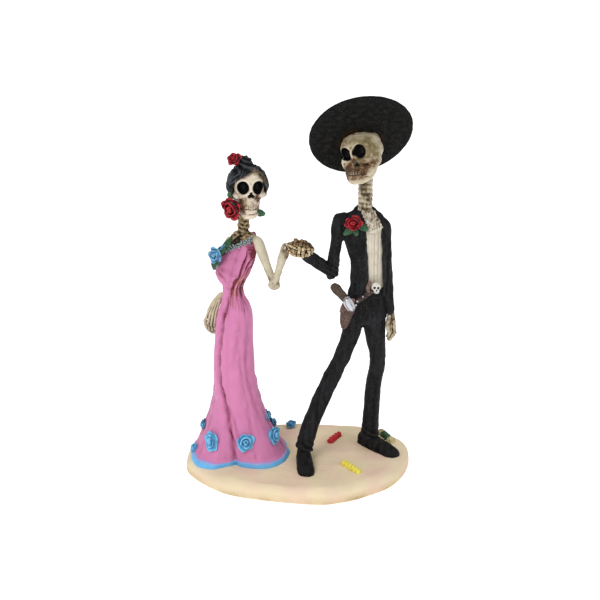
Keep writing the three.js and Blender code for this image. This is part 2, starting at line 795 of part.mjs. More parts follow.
// A slanted belt that follows his hips, a skull for a buckle, and a gun in its holster.
function gunBelt() {
  const buckle = his(14.7, -6.3, 98.6);
  const hip = his(1.6, -6.4, 88.6);
  const slope = Math.atan2(buckle.z - hip.z, buckle.x - hip.x);
  const slab = new THREE.BoxGeometry(60 * hisUnit, 60 * hisUnit, beltWidth);
  slab.rotateY(-slope).translate((buckle.x + hip.x) / 2, hip.y, (buckle.z + hip.z) / 2 - 0.6);
  const strap = suitSkin(beltThickness).intersect(solid(slab));
  const face = [
    ball(buckle, [3, 1.7, 2.8].map((r) => r * hisUnit), { across: 7 }),
    ball(buckle.clone().add(vec(0.1, -0.2, -2.5)), [1.7, 1.4, 1.5].map((r) => r * hisUnit), { across: 5 }),
  ];
  const front = vec(0, 1, 0.3);
  const gun = [
    limb(
      [his(-6.9, -5.6, 98), his(-4.6, -6, 95.6), his(-1.4, -6.4, 91.6)],
      [
        [2.3, 1.7],
        [2.5, 1.8],
        [2, 1.6],
      ].map((s) => s.map((r) => r * hisUnit)),
      { sides: 6, steps: 1, ref: front },
    ),
    bone(his(-1.4, -6.8, 91.4), his(-0.4, -6.8, 86.6), 2.8 * hisUnit, 2.6 * hisUnit, { sides: 6, ref: front }),
    limb(
      [his(0, -6.6, 88), his(-1.4, -6.2, 82), his(-2.2, -5.4, 76), his(-2.4, -5, 73)],
      [
        [3.7, 2.2],
        [3.5, 2.1],
        [2.6, 1.8],
        [1.5, 1.2],
      ].map((s) => s.map((r) => r * hisUnit)),
      { sides: 7, steps: 1, ref: front },
    ),
  ];
  return joined([strap, ...face, ...gun]);
}

function redRoses() {
  const cheek = inHerHead(-9.4, -6.2, 4.8);
  const onBun = inHerHead(-6.8, 1.2, 28.8);
  const lapel = his(2.4, -6.2, 133);
  return joined([
    rose(cheek, turnedWith(herHead, -0.7, -0.7, -0.12), cheekRose, { stretch: 1.12 }),
    leaf(inHerHead(-9.6, -4.6, 9), inHerHead(-9.2, -6.6, 14), vec(-0.8, -0.6, 0), 4),
    bone(inHerHead(-7, -4.6, 5.2), inHerHead(5, -6.6, 3.6), 1, 1, { sides: 4 }),
    leaf(inHerHead(4, -7.2, 3.8), inHerHead(8.6, -7, 1.4), vec(0.1, -1, 0.3), 4.4),
    rose(onBun, turnedWith(herHead, -0.55, -0.5, 0.66), bunRose, flat),
    bone(onBun, inHerHead(-2.6, 4, 25), 1.6, 1.6, { sides: 4 }),
    rose(lapel, vec(-0.1, -1, 0.25), lapelRose),
    leaf(lapel.clone().add(vec(1.6, 0.6, -2)), lapel.clone().add(vec(6.4, -0.4, -3.6)), vec(0.1, -1, 0.2), 3.6),
    leaf(lapel.clone().add(vec(-0.6, 0.6, -2.6)), lapel.clone().add(vec(-4, -0.2, -6.8)), vec(-0.1, -1, 0.1), 3.4),
  ]);
}

// Three small ribbed lumps, half sunk in the sand.
function scattered() {
  const lumps = [
    [20, 20.5, 35, 3.6, 1.7],
    [28, -17, -30, 5.8, 2.2],
    [48.6, 24, -26, 4, 1.8],
  ];
  return lumps.map(([x, y, way, half, thick]) => {
    const along = vec(Math.cos(degrees(way)), Math.sin(degrees(way)), 0).multiplyScalar(half);
    const middle = vec(x, y, sandThickness + thick * 0.35);
    const points = [-1, 0, 1].map((share) => middle.clone().addScaledVector(along, share));
    return limb(points, [0.9, 1, 0.8].map((s) => s * thick), { sides: 5, steps: 1, ref: vec(0, 0, 1) });
  });
}

const couple = joined([
  sand(),
  ...scattered(),
  gown(),
  gownRoses(),
  neck(her(3, 0.8, 122), her(4.6, 1.6, 147), 3.2 * herUnit, 5),
  skull(herHeadHeight, herChin, herPose),
  herHair(),
  herArms(),
  legs(),
  suit(),
  hisArms(),
  neck(his(8.2, 0.6, 137), his(8.6, 2.4, 166), 3.9 * hisUnit, 6),
  skull(hisHeadHeight, hisChin, { ...hisPose, length: 1.35 }),
  hat(),
  gunBelt(),
  redRoses(),
  claspedHands(),
]);

// A solid as a mesh with its paint.
function painted(name, piece, color, roughness) {
  const mesh = piece.getMesh();
  const geometry = new THREE.BufferGeometry();
  const points = [];
  for (let i = 0; i < mesh.numVert; i++)
    points.push(...mesh.vertProperties.subarray(i * mesh.numProp, i * mesh.numProp + 3));
  geometry.setAttribute("position", new THREE.Float32BufferAttribute(points, 3));
  geometry.setIndex([...mesh.triVerts]);
  geometry.computeVertexNormals();
  const made = new THREE.Mesh(geometry, new THREE.MeshStandardMaterial({ color, roughness, metalness: 0 }));
  made.name = name;
  return made;
}

const group = new THREE.Group();
group.add(painted("skeleton_couple", couple, 0xd8c8a0, 0.6));
export default group;
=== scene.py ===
import math

import bpy
import numpy as np
from mathutils import Euler, Matrix, Vector
from mathutils.kdtree import KDTree


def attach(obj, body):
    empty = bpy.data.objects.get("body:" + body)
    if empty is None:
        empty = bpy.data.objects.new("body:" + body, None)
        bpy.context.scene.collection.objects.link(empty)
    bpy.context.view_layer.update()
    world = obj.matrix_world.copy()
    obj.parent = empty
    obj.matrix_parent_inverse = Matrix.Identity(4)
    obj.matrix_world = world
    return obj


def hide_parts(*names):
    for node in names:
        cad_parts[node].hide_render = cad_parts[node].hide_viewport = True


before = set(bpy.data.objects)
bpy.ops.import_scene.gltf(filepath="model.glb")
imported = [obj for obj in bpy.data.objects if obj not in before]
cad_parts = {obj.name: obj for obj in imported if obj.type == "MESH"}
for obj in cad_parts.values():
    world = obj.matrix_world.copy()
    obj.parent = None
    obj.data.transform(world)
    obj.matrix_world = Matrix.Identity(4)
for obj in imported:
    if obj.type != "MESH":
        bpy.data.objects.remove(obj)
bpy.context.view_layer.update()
mm = 0.001  # lengths below are millimetres
herStand = np.array([-32.0, 6.0, 8.5])
hisStand = np.array([26.0, 3.0, 8.5])
sandTop = 8.5


def her(x, y, z):  # a place in her own coordinates
    return herStand + (x, y, z)


def his(x, y, z):  # a place in his own coordinates
    return hisStand + (x, y, z)


# Selecting, reading and shaping


def selectOnly(pieces):
    if bpy.context.object and bpy.context.object.mode != "OBJECT":
        bpy.ops.object.mode_set(mode="OBJECT")
    bpy.ops.object.select_all(action="DESELECT")
    for piece in pieces:
        piece.select_set(True)
    if pieces:
        bpy.context.view_layer.objects.active = pieces[0]


def readPoints(piece):
    co = np.empty(len(piece.data.vertices) * 3)
    piece.data.vertices.foreach_get("co", co)
    return co.reshape(-1, 3) / mm


def writePoints(piece, points):
    piece.data.vertices.foreach_set("co", (np.asarray(points) * mm).ravel())
    piece.data.update()


def readNormals(piece):
    normals = np.empty(len(piece.data.vertices) * 3)
    piece.data.vertices.foreach_get("normal", normals)
    return normals.reshape(-1, 3)


def readEdges(piece):
    edges = np.empty(len(piece.data.edges) * 2, dtype=np.int64)
    piece.data.edges.foreach_get("vertices", edges)
    return edges.reshape(-1, 2)


def keepValue(piece, name, values):
    layer = piece.data.attributes.get(name) or piece.data.attributes.new(name, "FLOAT", "POINT")
    layer.data.foreach_set("value", np.asarray(values, dtype=np.float32))


def valueOf(piece, name):
    values = np.zeros(len(piece.data.vertices), dtype=np.float32)
    layer = piece.data.attributes.get(name)
    if layer:
        layer.data.foreach_get("value", values)
    return values


def useModifier(piece, kind, **settings):
    selectOnly([piece])
    made = piece.modifiers.new(kind.lower(), kind)
    for key, value in settings.items():
        setattr(made, key, value)
    bpy.ops.object.modifier_apply(modifier=made.name)


def smoothRows(table, keys):  # a table of stations read smoothly, without overshoot
    table = np.asarray(table, float)
    x, y = table[:, 0], table[:, 1:]
    step = np.diff(x)
    secant = np.diff(y, axis=0) / step[:, None]
    slope = np.zeros_like(y)
    same = secant[:-1] * secant[1:] > 0
    with np.errstate(divide="ignore", invalid="ignore"):
        mean = 2 * secant[:-1] * secant[1:] / (secant[:-1] + secant[1:])
    slope[1:-1] = np.where(same, mean, 0)
    slope[0], slope[-1] = secant[0], secant[-1]
    keys = np.asarray(keys, float)
    i = np.clip(np.searchsorted(x, keys) - 1, 0, len(x) - 2)
    t = np.clip((keys - x[i]) / step[i], 0, 1)[..., None]
    h = step[i][..., None]
    return (
        y[i] * (1 + 2 * t) * (1 - t) ** 2
        + slope[i] * h * t * (1 - t) ** 2
        + y[i + 1] * t * t * (3 - 2 * t)
        + slope[i + 1] * h * t * t * (t - 1)
    )


def curvePoints(points, steps, closed=False):  # a smooth curve through the points
    p = np.asarray(points, float)
    if closed:
        p = np.vstack([p[-1:], p, p[:2]])
    else:
        p = np.vstack([2 * p[0] - p[1], p, 2 * p[-1] - p[-2]])
    rows = []
    for i in range(1, len(p) - 2):
        for t in np.arange(steps) / steps:
            a, b, c, d = p[i - 1 : i + 3]
            rows.append(0.5 * (2 * b + (c - a) * t + (2 * a - 5 * b + 4 * c - d) * t**2
                               + (3 * b - a - 3 * c + d) * t**3))
    if not closed:
        rows.append(p[-2])
    return np.array(rows)


def loft(name, rings, closed=False):  # a circle primitive extruded ring by ring, each ring set to its points
    rings = np.asarray(rings, float)
    count, sides = rings.shape[:2]
    selectOnly([])
    bpy.ops.mesh.primitive_circle_add(vertices=sides, radius=mm)
    piece = bpy.context.object
    piece.name = piece.data.name = name
    bpy.ops.object.mode_set(mode="EDIT")
    bpy.ops.mesh.select_all(action="SELECT")
    for _ in range(count - 1):
        bpy.ops.mesh.extrude_region_move(TRANSFORM_OT_translate={"value": (0, 0, mm)})
    bpy.ops.object.mode_set(mode="OBJECT")
    flat = readPoints(piece)
    level = np.rint(flat[:, 2]).astype(int)
    turn = np.arctan2(flat[:, 1], flat[:, 0]) - math.pi / 2
    spoke = np.rint(turn * sides / (2 * math.pi)).astype(int) % sides
    writePoints(piece, rings[level, spoke])
    bpy.ops.object.mode_set(mode="EDIT")
    bpy.ops.mesh.select_all(action="DESELECT")
    bpy.ops.mesh.select_non_manifold()
    if closed:
        bpy.ops.mesh.bridge_edge_loops()
    else:
        bpy.ops.mesh.fill_holes(sides=0)
    bpy.ops.mesh.select_all(action="SELECT")
    bpy.ops.mesh.normals_make_consistent(inside=False)
    bpy.ops.object.mode_set(mode="OBJECT")
    return piece


def tubeRings(points, sizes, sides=16, steps=5, ref=(0, 1, 0), ends=(True, True)):
    # sizes are radii, or a width along the side and a depth along ref, at each point of the path
    path = curvePoints(points, steps)
    table = np.array([np.broadcast_to(size, 2) for size in sizes], float)
    table = np.maximum(curvePoints(table, steps), 0.05)
    along = np.gradient(path, axis=0)
    along /= np.linalg.norm(along, axis=1)[:, None]
    across = np.cross(along, ref)
    across /= np.linalg.norm(across, axis=1)[:, None]
    through = np.cross(along, across)
    turn = np.arange(sides) * 2 * math.pi / sides

    def ring(i, shrink, shift):
        centre = path[i] + along[i] * shift
        return (centre + np.outer(np.cos(turn) * table[i, 0] * shrink, across[i])
                + np.outer(np.sin(turn) * table[i, 1] * shrink, through[i]))

    rounding = [(math.cos(a), math.sin(a)) for a in (1.45, 1.15, 0.8, 0.4)]
    rings = []
    if ends[0]:
        rings += [ring(0, c, -s * table[0].min()) for c, s in rounding]
    rings += [ring(i, 1, 0) for i in range(len(path))]
    if ends[1]:
        rings += [ring(len(path) - 1, c, s * table[-1].min()) for c, s in rounding[::-1]]
    return rings


def tube(points, sizes, name="part", **options):
    return loft(name, tubeRings(points, sizes, **options))


def ball(centre, radii, turn=(0, 0, 0), name="part", segments=32):
    selectOnly([])
    bpy.ops.mesh.primitive_uv_sphere_add(segments=segments, ring_count=segments // 2, radius=mm)
    piece = bpy.context.object
    piece.name = piece.data.name = name
    pose = Euler([math.radians(a) for a in turn]).to_matrix()
    writePoints(piece, (readPoints(piece) * radii) @ np.array(pose).T + centre)
    return piece


def join(name, pieces):
    selectOnly(pieces)
    if len(pieces) > 1:
        bpy.ops.object.join()
    whole = bpy.context.view_layer.objects.active
    whole.name = whole.data.name = name
    return whole


def fuse(name, pieces, voxel, smooth):  # joined, grown into one skin and softened as cast resin is
    whole = join(name, pieces)
    useModifier(whole, "REMESH", mode="VOXEL", voxel_size=voxel * mm)
    if smooth:
        useModifier(whole, "SMOOTH", factor=0.5, iterations=smooth)
    return whole


def cut(piece, tools):
    for tool in tools:
        useModifier(piece, "BOOLEAN", operation="DIFFERENCE", object=tool, solver="EXACT")
        bpy.data.objects.remove(tool)
    return piece


def carry(piece, move):  # a 4 by 4 matrix in millimetres
    move = np.array(move)
    writePoints(piece, readPoints(piece) @ move[:3, :3].T + move[:3, 3])
    return piece


def facing(direction, place, spin=0.0, size=1.0):
    turn = Vector((0, 0, 1)).rotation_difference(Vector(direction)).to_matrix()
    turn = turn @ Matrix.Rotation(math.radians(spin), 3, "Z") * size
    move = turn.to_4x4()
    move.translation = Vector(place)
    return move


def headFrame(height, place, turn, roll, nod=0.0):
    pose = Matrix.Rotation(math.radians(turn), 3, "Z") @ Matrix.Rotation(math.radians(nod), 3, "X")
    pose = pose @ Matrix.Rotation(math.radians(roll), 3, "Y") * (height / 26.0)
    move = pose.to_4x4()
    move.translation = Vector(place)
    return move


def through(move, x, y, z):
    return np.array(move @ Vector((x, y, z)))


def relax(points, edges, rounds):
    count = len(points)
    a, b = edges[:, 0], edges[:, 1]
    degree = np.maximum(np.bincount(edges.ravel(), minlength=count), 1)[:, None]
    for _ in range(rounds):
        total = np.stack([
            np.bincount(a, weights=points[b, k], minlength=count)
            + np.bincount(b, weights=points[a, k], minlength=count)
            for k in range(points.shape[1])
        ], axis=1)
        points = 0.5 * points + 0.5 * total / degree
    return points


def wearAndShadeMaps(piece, scales=((4, 0.05), (40, 0.3)), stain_and_shade=None, tint=None):
    # how hollow and how proud each point is, and where more wash was brushed on or shade is painted
    points, normals, edges = readPoints(piece), readNormals(piece), readEdges(piece)
    hollow, ridge = np.zeros(len(points)), np.zeros(len(points))
    for rounds, depth in scales:
        below = ((relax(points, edges, rounds) - points) * normals).sum(1) / depth
        hollow = np.maximum(hollow, np.clip(below, 0, 1))
        ridge = np.maximum(ridge, np.clip(-below, 0, 1))
    keepValue(piece, "hollow", hollow)
    keepValue(piece, "ridge", ridge)
    keepValue(piece, "stain_and_shade", np.zeros(len(points)) if stain_and_shade is None else stain_and_shade(points, normals))
    if tint:
        keepValue(piece, "tint", tint(points, normals))


def dabs(points, spots, most=1):  # brush dabs: place, reach, strength
    total = np.zeros(len(points))
    for x, y, z, reach, strength in spots:
        total += strength * np.exp(-((points - (x, y, z)) ** 2).sum(1) / reach**2)
    return np.clip(total, 0, most)


def besides(points, others, reach):  # 1 where a point touches the other pieces, fading to 0 at reach
    found = KDTree(sum(len(other) for other in others))
    for i, place in enumerate(p for other in others for p in other):
        found.insert(place, i)
    found.balance()
    low = np.min([other.min(0) for other in others], axis=0) - reach
    high = np.max([other.max(0) for other in others], axis=0) + reach
    close = np.nonzero(((points > low) & (points < high)).all(1))[0]
    touch = np.zeros(len(points))
    for i in close:
        touch[i] = max(0, 1 - found.find(points[i])[2] / reach)
    return touch


def ripples(points, size, seed):  # a smooth wandering value between about -1 and 1
    rng = np.random.default_rng(seed)
    total = np.zeros(len(points))
    for _ in range(10):
        way = rng.normal(size=3)
        way *= rng.uniform(0.6, 1.5) / (np.linalg.norm(way) * size) * 2 * math.pi
        total += np.sin(points @ way + rng.uniform(0, 2 * math.pi))
    return total / 10**0.5


def push(piece, amounts):
    points, normals = readPoints(piece), readNormals(piece)
    writePoints(piece, points + normals * amounts[:, None])


def ready(piece, material, smooth=True):
    selectOnly([piece])
    if smooth:
        bpy.ops.object.shade_smooth()
    piece.data.materials.clear()
    piece.data.materials.append(material)
    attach(piece, "root")
    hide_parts("skeleton_couple")
    return piece


print("helpers ready")


# Materials: shared effects are node groups, each material sets its own values


def paint(red, green, blue):  # a screen colour as the value a shader reads
    return tuple(((c / 255 + 0.055) / 1.055) ** 2.4 if c > 10 else c / 3294.6 for c in (red, green, blue)) + (1.0,)


def addNode(tree, kind, links=None, **settings):
    made = tree.nodes.new(kind)
    for key, value in settings.items():
        setattr(made, key, value)
    for socket, value in (links or {}).items():
        if isinstance(value, bpy.types.NodeSocket):
            tree.links.new(value, made.inputs[socket])
        else:
            made.inputs[socket].default_value = value
    return made


def mixColour(tree, factor, a, b, blend="MIX"):
    made = addNode(tree, "ShaderNodeMix", {0: factor, 6: a, 7: b}, data_type="RGBA", blend_type=blend)
    return made.outputs[2]


def sums(tree, operation, a, b, clamp=False):
    return addNode(tree, "ShaderNodeMath", {0: a, 1: b}, operation=operation, use_clamp=clamp).outputs[0]


def newGroup(name, inputs, outputs):
    tree = bpy.data.node_groups.new(name, "ShaderNodeTree")
    kinds = {"c": "NodeSocketColor", "f": "NodeSocketFloat", "v": "NodeSocketVector"}
    for label, kind in inputs:
        tree.interface.new_socket(name=label, in_out="INPUT", socket_type=kinds[kind])
    for label, kind in outputs:
        tree.interface.new_socket(name=label, in_out="OUTPUT", socket_type=kinds[kind])
    return tree, tree.nodes.new("NodeGroupInput"), tree.nodes.new("NodeGroupOutput")


def makeHandPaint():
    # paint that varies a little, a thin wash that gathers in hollows, painted shade where the stain-and-shade map is
    # high, lighter brushing on what stands proud
    tree, given, out = newGroup(
        "handPaint",
        [("Paint", "c"), ("Wash_and_shade", "c"), ("Light", "c"), ("Hollow", "f"), ("Ridge", "f"), ("Stain_and_shade", "f"),
         ("Mottle", "f"), ("Scale", "f"), ("Rough", "f")],
        [("Color", "c"), ("Roughness", "f"), ("Broken", "f")])
    place = tree.nodes.new("ShaderNodeTexCoord").outputs["Object"]
    broad = addNode(tree, "ShaderNodeTexNoise", {"Vector": place, "Scale": given.outputs["Scale"], "Detail": 5.0})
    fineScale = sums(tree, "MULTIPLY", given.outputs["Scale"], 6.0)
    fine = addNode(tree, "ShaderNodeTexNoise", {"Vector": place, "Scale": fineScale, "Detail": 3.0})
    centred = sums(tree, "SUBTRACT", broad.outputs["Fac"], 0.5)
    shift = sums(tree, "MULTIPLY", centred, given.outputs["Mottle"])
    lighter = sums(tree, "ADD", shift, 1.0)
    scaled = addNode(tree, "ShaderNodeVectorMath", {0: given.outputs["Paint"], "Scale": lighter}, operation="SCALE")
    spread = addNode(tree, "ShaderNodeMapRange", {0: broad.outputs["Fac"], 1: 0.3, 2: 0.7, 3: 0.2, 4: 1.8})
    speckle = addNode(tree, "ShaderNodeMapRange", {0: fine.outputs["Fac"], 1: 0.35, 2: 0.65, 3: 0.8, 4: 1.2})
    broken = sums(tree, "MULTIPLY", spread.outputs[0], speckle.outputs[0])
    gathered = sums(tree, "ADD", given.outputs["Hollow"], given.outputs["Stain_and_shade"])
    brushed = sums(tree, "MULTIPLY", gathered, broken)
    washAndShadeShare = sums(tree, "MULTIPLY", brushed, 0.92, clamp=True)
    colour = mixColour(tree, washAndShadeShare, scaled.outputs[0], given.outputs["Wash_and_shade"])
    over = sums(tree, "MULTIPLY", sums(tree, "SUBTRACT", brushed, 1.0), 0.9, clamp=True)
    deepWashAndShade = addNode(tree, "ShaderNodeVectorMath", {0: given.outputs["Wash_and_shade"], "Scale": 0.3}, operation="SCALE")
    colour = mixColour(tree, over, colour, deepWashAndShade.outputs[0])
    proud = sums(tree, "MULTIPLY", given.outputs["Ridge"], fine.outputs["Fac"], clamp=True)
    colour = mixColour(tree, proud, colour, given.outputs["Light"])
    drier = sums(tree, "MULTIPLY", sums(tree, "SUBTRACT", fine.outputs["Fac"], 0.5), 0.25)
    rough = sums(tree, "ADD", given.outputs["Rough"], drier, clamp=True)
    tree.links.new(colour, out.inputs["Color"])
    tree.links.new(rough, out.inputs["Roughness"])
    tree.links.new(broken, out.inputs["Broken"])
    return tree


def makeCastGrain():
    # the small unevenness of a casting: brush marks, fine grain and a few pits
    tree, given, out = newGroup("castGrain", [("Scale", "f"), ("Stretch", "v")], [("Height", "f"), ("Grain", "f")])
    place = tree.nodes.new("ShaderNodeTexCoord").outputs["Object"]
    pulled = addNode(tree, "ShaderNodeVectorMath", {0: place, 1: given.outputs["Stretch"]}, operation="MULTIPLY")
    grain = addNode(tree, "ShaderNodeTexNoise",
                    {"Vector": pulled.outputs[0], "Scale": given.outputs["Scale"], "Detail": 4.0, "Roughness": 0.65})
    pits = addNode(tree, "ShaderNodeTexVoronoi",
                   {"Vector": place, "Scale": sums(tree, "MULTIPLY", given.outputs["Scale"], 0.6)})
    pit = addNode(tree, "ShaderNodeMapRange", {0: pits.outputs["Distance"], 1: 0.0, 2: 0.12, 3: 0.0, 4: 1.0})
    height = sums(tree, "ADD", grain.outputs["Fac"], sums(tree, "MULTIPLY", pit.outputs[0], 0.25))
    tree.links.new(height, out.inputs["Height"])
    tree.links.new(grain.outputs["Fac"], out.inputs["Grain"])
    return tree


handPaint, castGrain = makeHandPaint(), makeCastGrain()


def readValue(tree, name):
    return addNode(tree, "ShaderNodeAttribute", attribute_name=name, attribute_type="GEOMETRY").outputs["Fac"]


def makeMaterial(name, look):
    material = bpy.data.materials.new(name)
    material.use_nodes = True
    tree = material.node_tree
    shader = tree.nodes["Principled BSDF"]
    painted = addNode(tree, "ShaderNodeGroup", node_tree=handPaint)
    for label in ("Paint", "Wash_and_shade", "Light", "Mottle", "Scale", "Rough"):
        painted.inputs[label].default_value = look[label.lower()]
    for label, share in (("Hollow", look["hollow"]), ("Ridge", look["ridge"]), ("Stain_and_shade", 1.0)):
        tree.links.new(sums(tree, "MULTIPLY", readValue(tree, label.lower()), share), painted.inputs[label])
    grain = addNode(tree, "ShaderNodeGroup", {"Scale": look["grain"], "Stretch": look.get("stretch", (1, 1, 1))},
                    node_tree=castGrain)
    bump = addNode(tree, "ShaderNodeBump",
                   {"Strength": look["bump"], "Distance": look["deep"] * mm, "Height": grain.outputs["Height"]})
    colour = painted.outputs["Color"]
    if "tint" in look:  # a second colour brushed on in places
        spread = sums(tree, "MULTIPLY", readValue(tree, "tint"), painted.outputs["Broken"], clamp=True)
        colour = mixColour(tree, spread, colour, look["tint"])
    if "fleck" in look:  # dry brushing caught by the grain
        caught = addNode(tree, "ShaderNodeMapRange", {0: grain.outputs["Grain"], 1: 0.52, 2: 0.72, 3: 0.0,
                                                      4: look["fleckShare"]})
        colour = mixColour(tree, caught.outputs[0], colour, look["fleck"])
    tree.links.new(colour, shader.inputs["Base Color"])
    tree.links.new(painted.outputs["Roughness"], shader.inputs["Roughness"])
    tree.links.new(bump.outputs[0], shader.inputs["Normal"])
    shader.inputs["Metallic"].default_value = look.get("metal", 0.0)
    shader.inputs["Specular IOR Level"].default_value = look.get("shine", 0.4)
    return material


boneLook = {"paint": paint(214, 205, 182), "wash_and_shade": paint(100, 64, 24), "light": paint(234, 228, 214), "mottle": 0.35,
            "scale": 420.0, "rough": 0.5, "hollow": 0.9, "ridge": 0.35, "grain": 1400.0, "bump": 0.35, "deep": 0.12,
            "shine": 0.3, "tint": paint(140, 128, 92)}
looks = {
    "boneResin": {**boneLook, "paint": paint(192, 182, 158), "wash_and_shade": paint(96, 74, 40), "light": paint(222, 214, 196),
                  "mottle": 0.6, "scale": 260.0},
    "handBone": {**boneLook, "paint": paint(196, 182, 148), "wash_and_shade": paint(82, 54, 24), "hollow": 1.9, "ridge": 0.9},
    "claspBone": {**boneLook, "paint": paint(160, 130, 82), "wash_and_shade": paint(88, 56, 18), "light": paint(234, 222, 192),
                  "hollow": 2.3, "ridge": 1.3, "mottle": 0.9, "shine": 0.12},
    "darkBone": {**boneLook, "paint": paint(146, 120, 78), "wash_and_shade": paint(58, 42, 22), "light": paint(222, 206, 168),
                 "hollow": 1.2, "ridge": 0.8, "mottle": 0.7, "tint": paint(200, 130, 80), "shine": 0.15},
    # the gown's wash colour also paints the shade on the bodice's side and by the armhole
    "gownPaint": {"paint": paint(203, 123, 167), "wash_and_shade": paint(108, 22, 36), "light": paint(228, 160, 200),
                  "mottle": 0.2, "scale": 160.0, "rough": 0.5, "hollow": 0.7, "ridge": 0.4, "grain": 900.0,
                  "stretch": (1, 1, 0.22), "bump": 0.25, "deep": 0.12, "shine": 0.3, "tint": paint(204, 132, 126)},
    "blueEdge": {"paint": paint(92, 168, 222), "wash_and_shade": paint(62, 86, 132), "light": paint(150, 206, 236),
                 "mottle": 0.35, "scale": 300.0, "rough": 0.5, "hollow": 0.8, "ridge": 0.5, "grain": 1300.0,
                 "bump": 0.3, "deep": 0.12, "shine": 0.3, "tint": paint(190, 130, 190)},
    "bluePetal": {"paint": paint(86, 174, 222), "wash_and_shade": paint(70, 90, 120), "light": paint(168, 218, 238),
                  "mottle": 0.4, "scale": 400.0, "rough": 0.5, "hollow": 0.7, "ridge": 0.7, "grain": 1600.0,
                  "bump": 0.3, "deep": 0.1, "shine": 0.3},
    "laceTrim": {"paint": paint(98, 114, 116), "wash_and_shade": paint(34, 30, 30), "light": paint(222, 230, 232),
                 "mottle": 0.8, "scale": 900.0, "rough": 0.5, "hollow": 1.4, "ridge": 0.9, "grain": 1600.0,
                 "bump": 0.4, "deep": 0.12, "shine": 0.3},
    "redPetal": {"paint": paint(150, 16, 28), "wash_and_shade": paint(36, 3, 9), "light": paint(196, 54, 66),
                 "mottle": 0.7, "scale": 400.0, "rough": 0.42, "hollow": 1.2, "ridge": 0.4, "grain": 1600.0,
                 "bump": 0.25, "deep": 0.1, "shine": 0.35},
    "leafPaint": {"paint": paint(26, 68, 40), "wash_and_shade": paint(8, 20, 14), "light": paint(100, 156, 108),
                  "mottle": 1.2, "scale": 520.0, "rough": 0.48, "hollow": 1.5, "ridge": 0.55, "grain": 1500.0,
                  "bump": 0.3, "deep": 0.1, "shine": 0.3, "tint": paint(206, 188, 140)},
    "hairPaint": {"paint": paint(26, 27, 29), "wash_and_shade": paint(5, 5, 6), "light": paint(96, 102, 108),
                  "mottle": 0.8, "scale": 400.0, "rough": 0.52, "hollow": 1.0, "ridge": 0.9, "grain": 1500.0,
                  "bump": 0.5, "deep": 0.2, "fleck": paint(70, 75, 81), "fleckShare": 0.4, "shine": 0.06,
                  "tint": paint(104, 86, 66)},
    # the black cloth's tint colour is brushed in strokes that are partly a painted sheen
    "blackCloth": {"paint": paint(20, 19, 19), "wash_and_shade": paint(5, 5, 5), "light": paint(62, 62, 63),
                   "mottle": 0.9, "scale": 260.0, "rough": 0.6, "hollow": 1.1, "ridge": 0.6, "grain": 1500.0,
                   "stretch": (1, 1, 0.5), "bump": 0.5, "deep": 0.2, "fleck": paint(62, 61, 61), "fleckShare": 0.6,
                   "shine": 0.06, "tint": paint(36, 38, 42)},
    "hatFelt": {"paint": paint(16, 16, 16), "wash_and_shade": paint(7, 7, 7), "light": paint(58, 56, 55),
                "mottle": 0.8, "scale": 200.0, "rough": 0.72, "hollow": 1.0, "ridge": 0.5, "grain": 1500.0,
                "bump": 0.6, "deep": 0.25, "fleck": paint(62, 60, 57), "fleckShare": 0.65, "shine": 0.04,
                "tint": paint(38, 25, 13)},
    "shirtPaint": {"paint": paint(197, 189, 172), "wash_and_shade": paint(112, 92, 64), "light": paint(222, 215, 198),
                   "mottle": 0.5, "scale": 260.0, "rough": 0.55, "hollow": 0.6, "ridge": 0.35, "grain": 1200.0,
                   "bump": 0.3, "deep": 0.1, "shine": 0.25, "tint": paint(150, 110, 66)},
    # the sand's wash colour is also the colour of its painted shadow and shade
    "sandPaint": {"paint": paint(228, 211, 177), "wash_and_shade": paint(186, 160, 118), "light": paint(236, 220, 200),
                  "mottle": 0.22, "scale": 70.0, "rough": 0.8, "hollow": 0.12, "ridge": 0.1, "grain": 900.0,
                  "bump": 0.45, "deep": 0.2, "shine": 0.2, "tint": paint(226, 196, 176)},
    "beltLeather": {"paint": paint(64, 44, 37), "wash_and_shade": paint(20, 13, 11), "light": paint(158, 128, 116),
                    "mottle": 1.5, "scale": 500.0, "rough": 0.45, "hollow": 1.5, "ridge": 0.9, "grain": 1200.0,
                    "bump": 0.4, "deep": 0.12, "shine": 0.25, "fleck": paint(150, 128, 118), "fleckShare": 0.75},
    "gripPaint": {"paint": paint(44, 32, 26), "wash_and_shade": paint(14, 9, 8), "light": paint(120, 102, 86),
                  "mottle": 1.4, "scale": 400.0, "rough": 0.45, "hollow": 1.2, "ridge": 0.4, "grain": 1500.0,
                  "bump": 0.35, "deep": 0.12, "shine": 0.2, "fleck": paint(120, 104, 90), "fleckShare": 0.7},
    "silverPaint": {"paint": paint(176, 176, 184), "wash_and_shade": paint(56, 52, 54), "light": paint(238, 238, 242),
                    "mottle": 0.5, "scale": 700.0, "rough": 0.36, "hollow": 1.3, "ridge": 0.7, "grain": 1500.0,
                    "bump": 0.3, "deep": 0.1, "metal": 0.3, "shine": 0.5},
    "redBit": {"paint": paint(190, 22, 30), "wash_and_shade": paint(70, 6, 12), "light": paint(222, 70, 70),
               "mottle": 0.5, "scale": 400.0, "rough": 0.42, "hollow": 1.0, "ridge": 0.5, "grain": 1600.0,
               "bump": 0.25, "deep": 0.1, "shine": 0.35},
    "yellowBit": {"paint": paint(230, 214, 66), "wash_and_shade": paint(168, 142, 44), "light": paint(244, 236, 140),
                  "mottle": 0.3, "scale": 500.0, "rough": 0.5, "hollow": 1.0, "ridge": 0.5, "grain": 1300.0,
                  "bump": 0.3, "deep": 0.1, "shine": 0.3},
}
materials = {name: makeMaterial(name, look) for name, look in looks.items()}
print("materials ready")


# Camera, light and floor

studio = {"camera": (0.001, -0.93118, 0.47461), "tilt": 68.0, "lens": 115.8, "floor": 12.0, "sky": 0.36,
          "key": 14.5, "fill": 4.6, "top": 8.0, "floorGlow": 0.62}


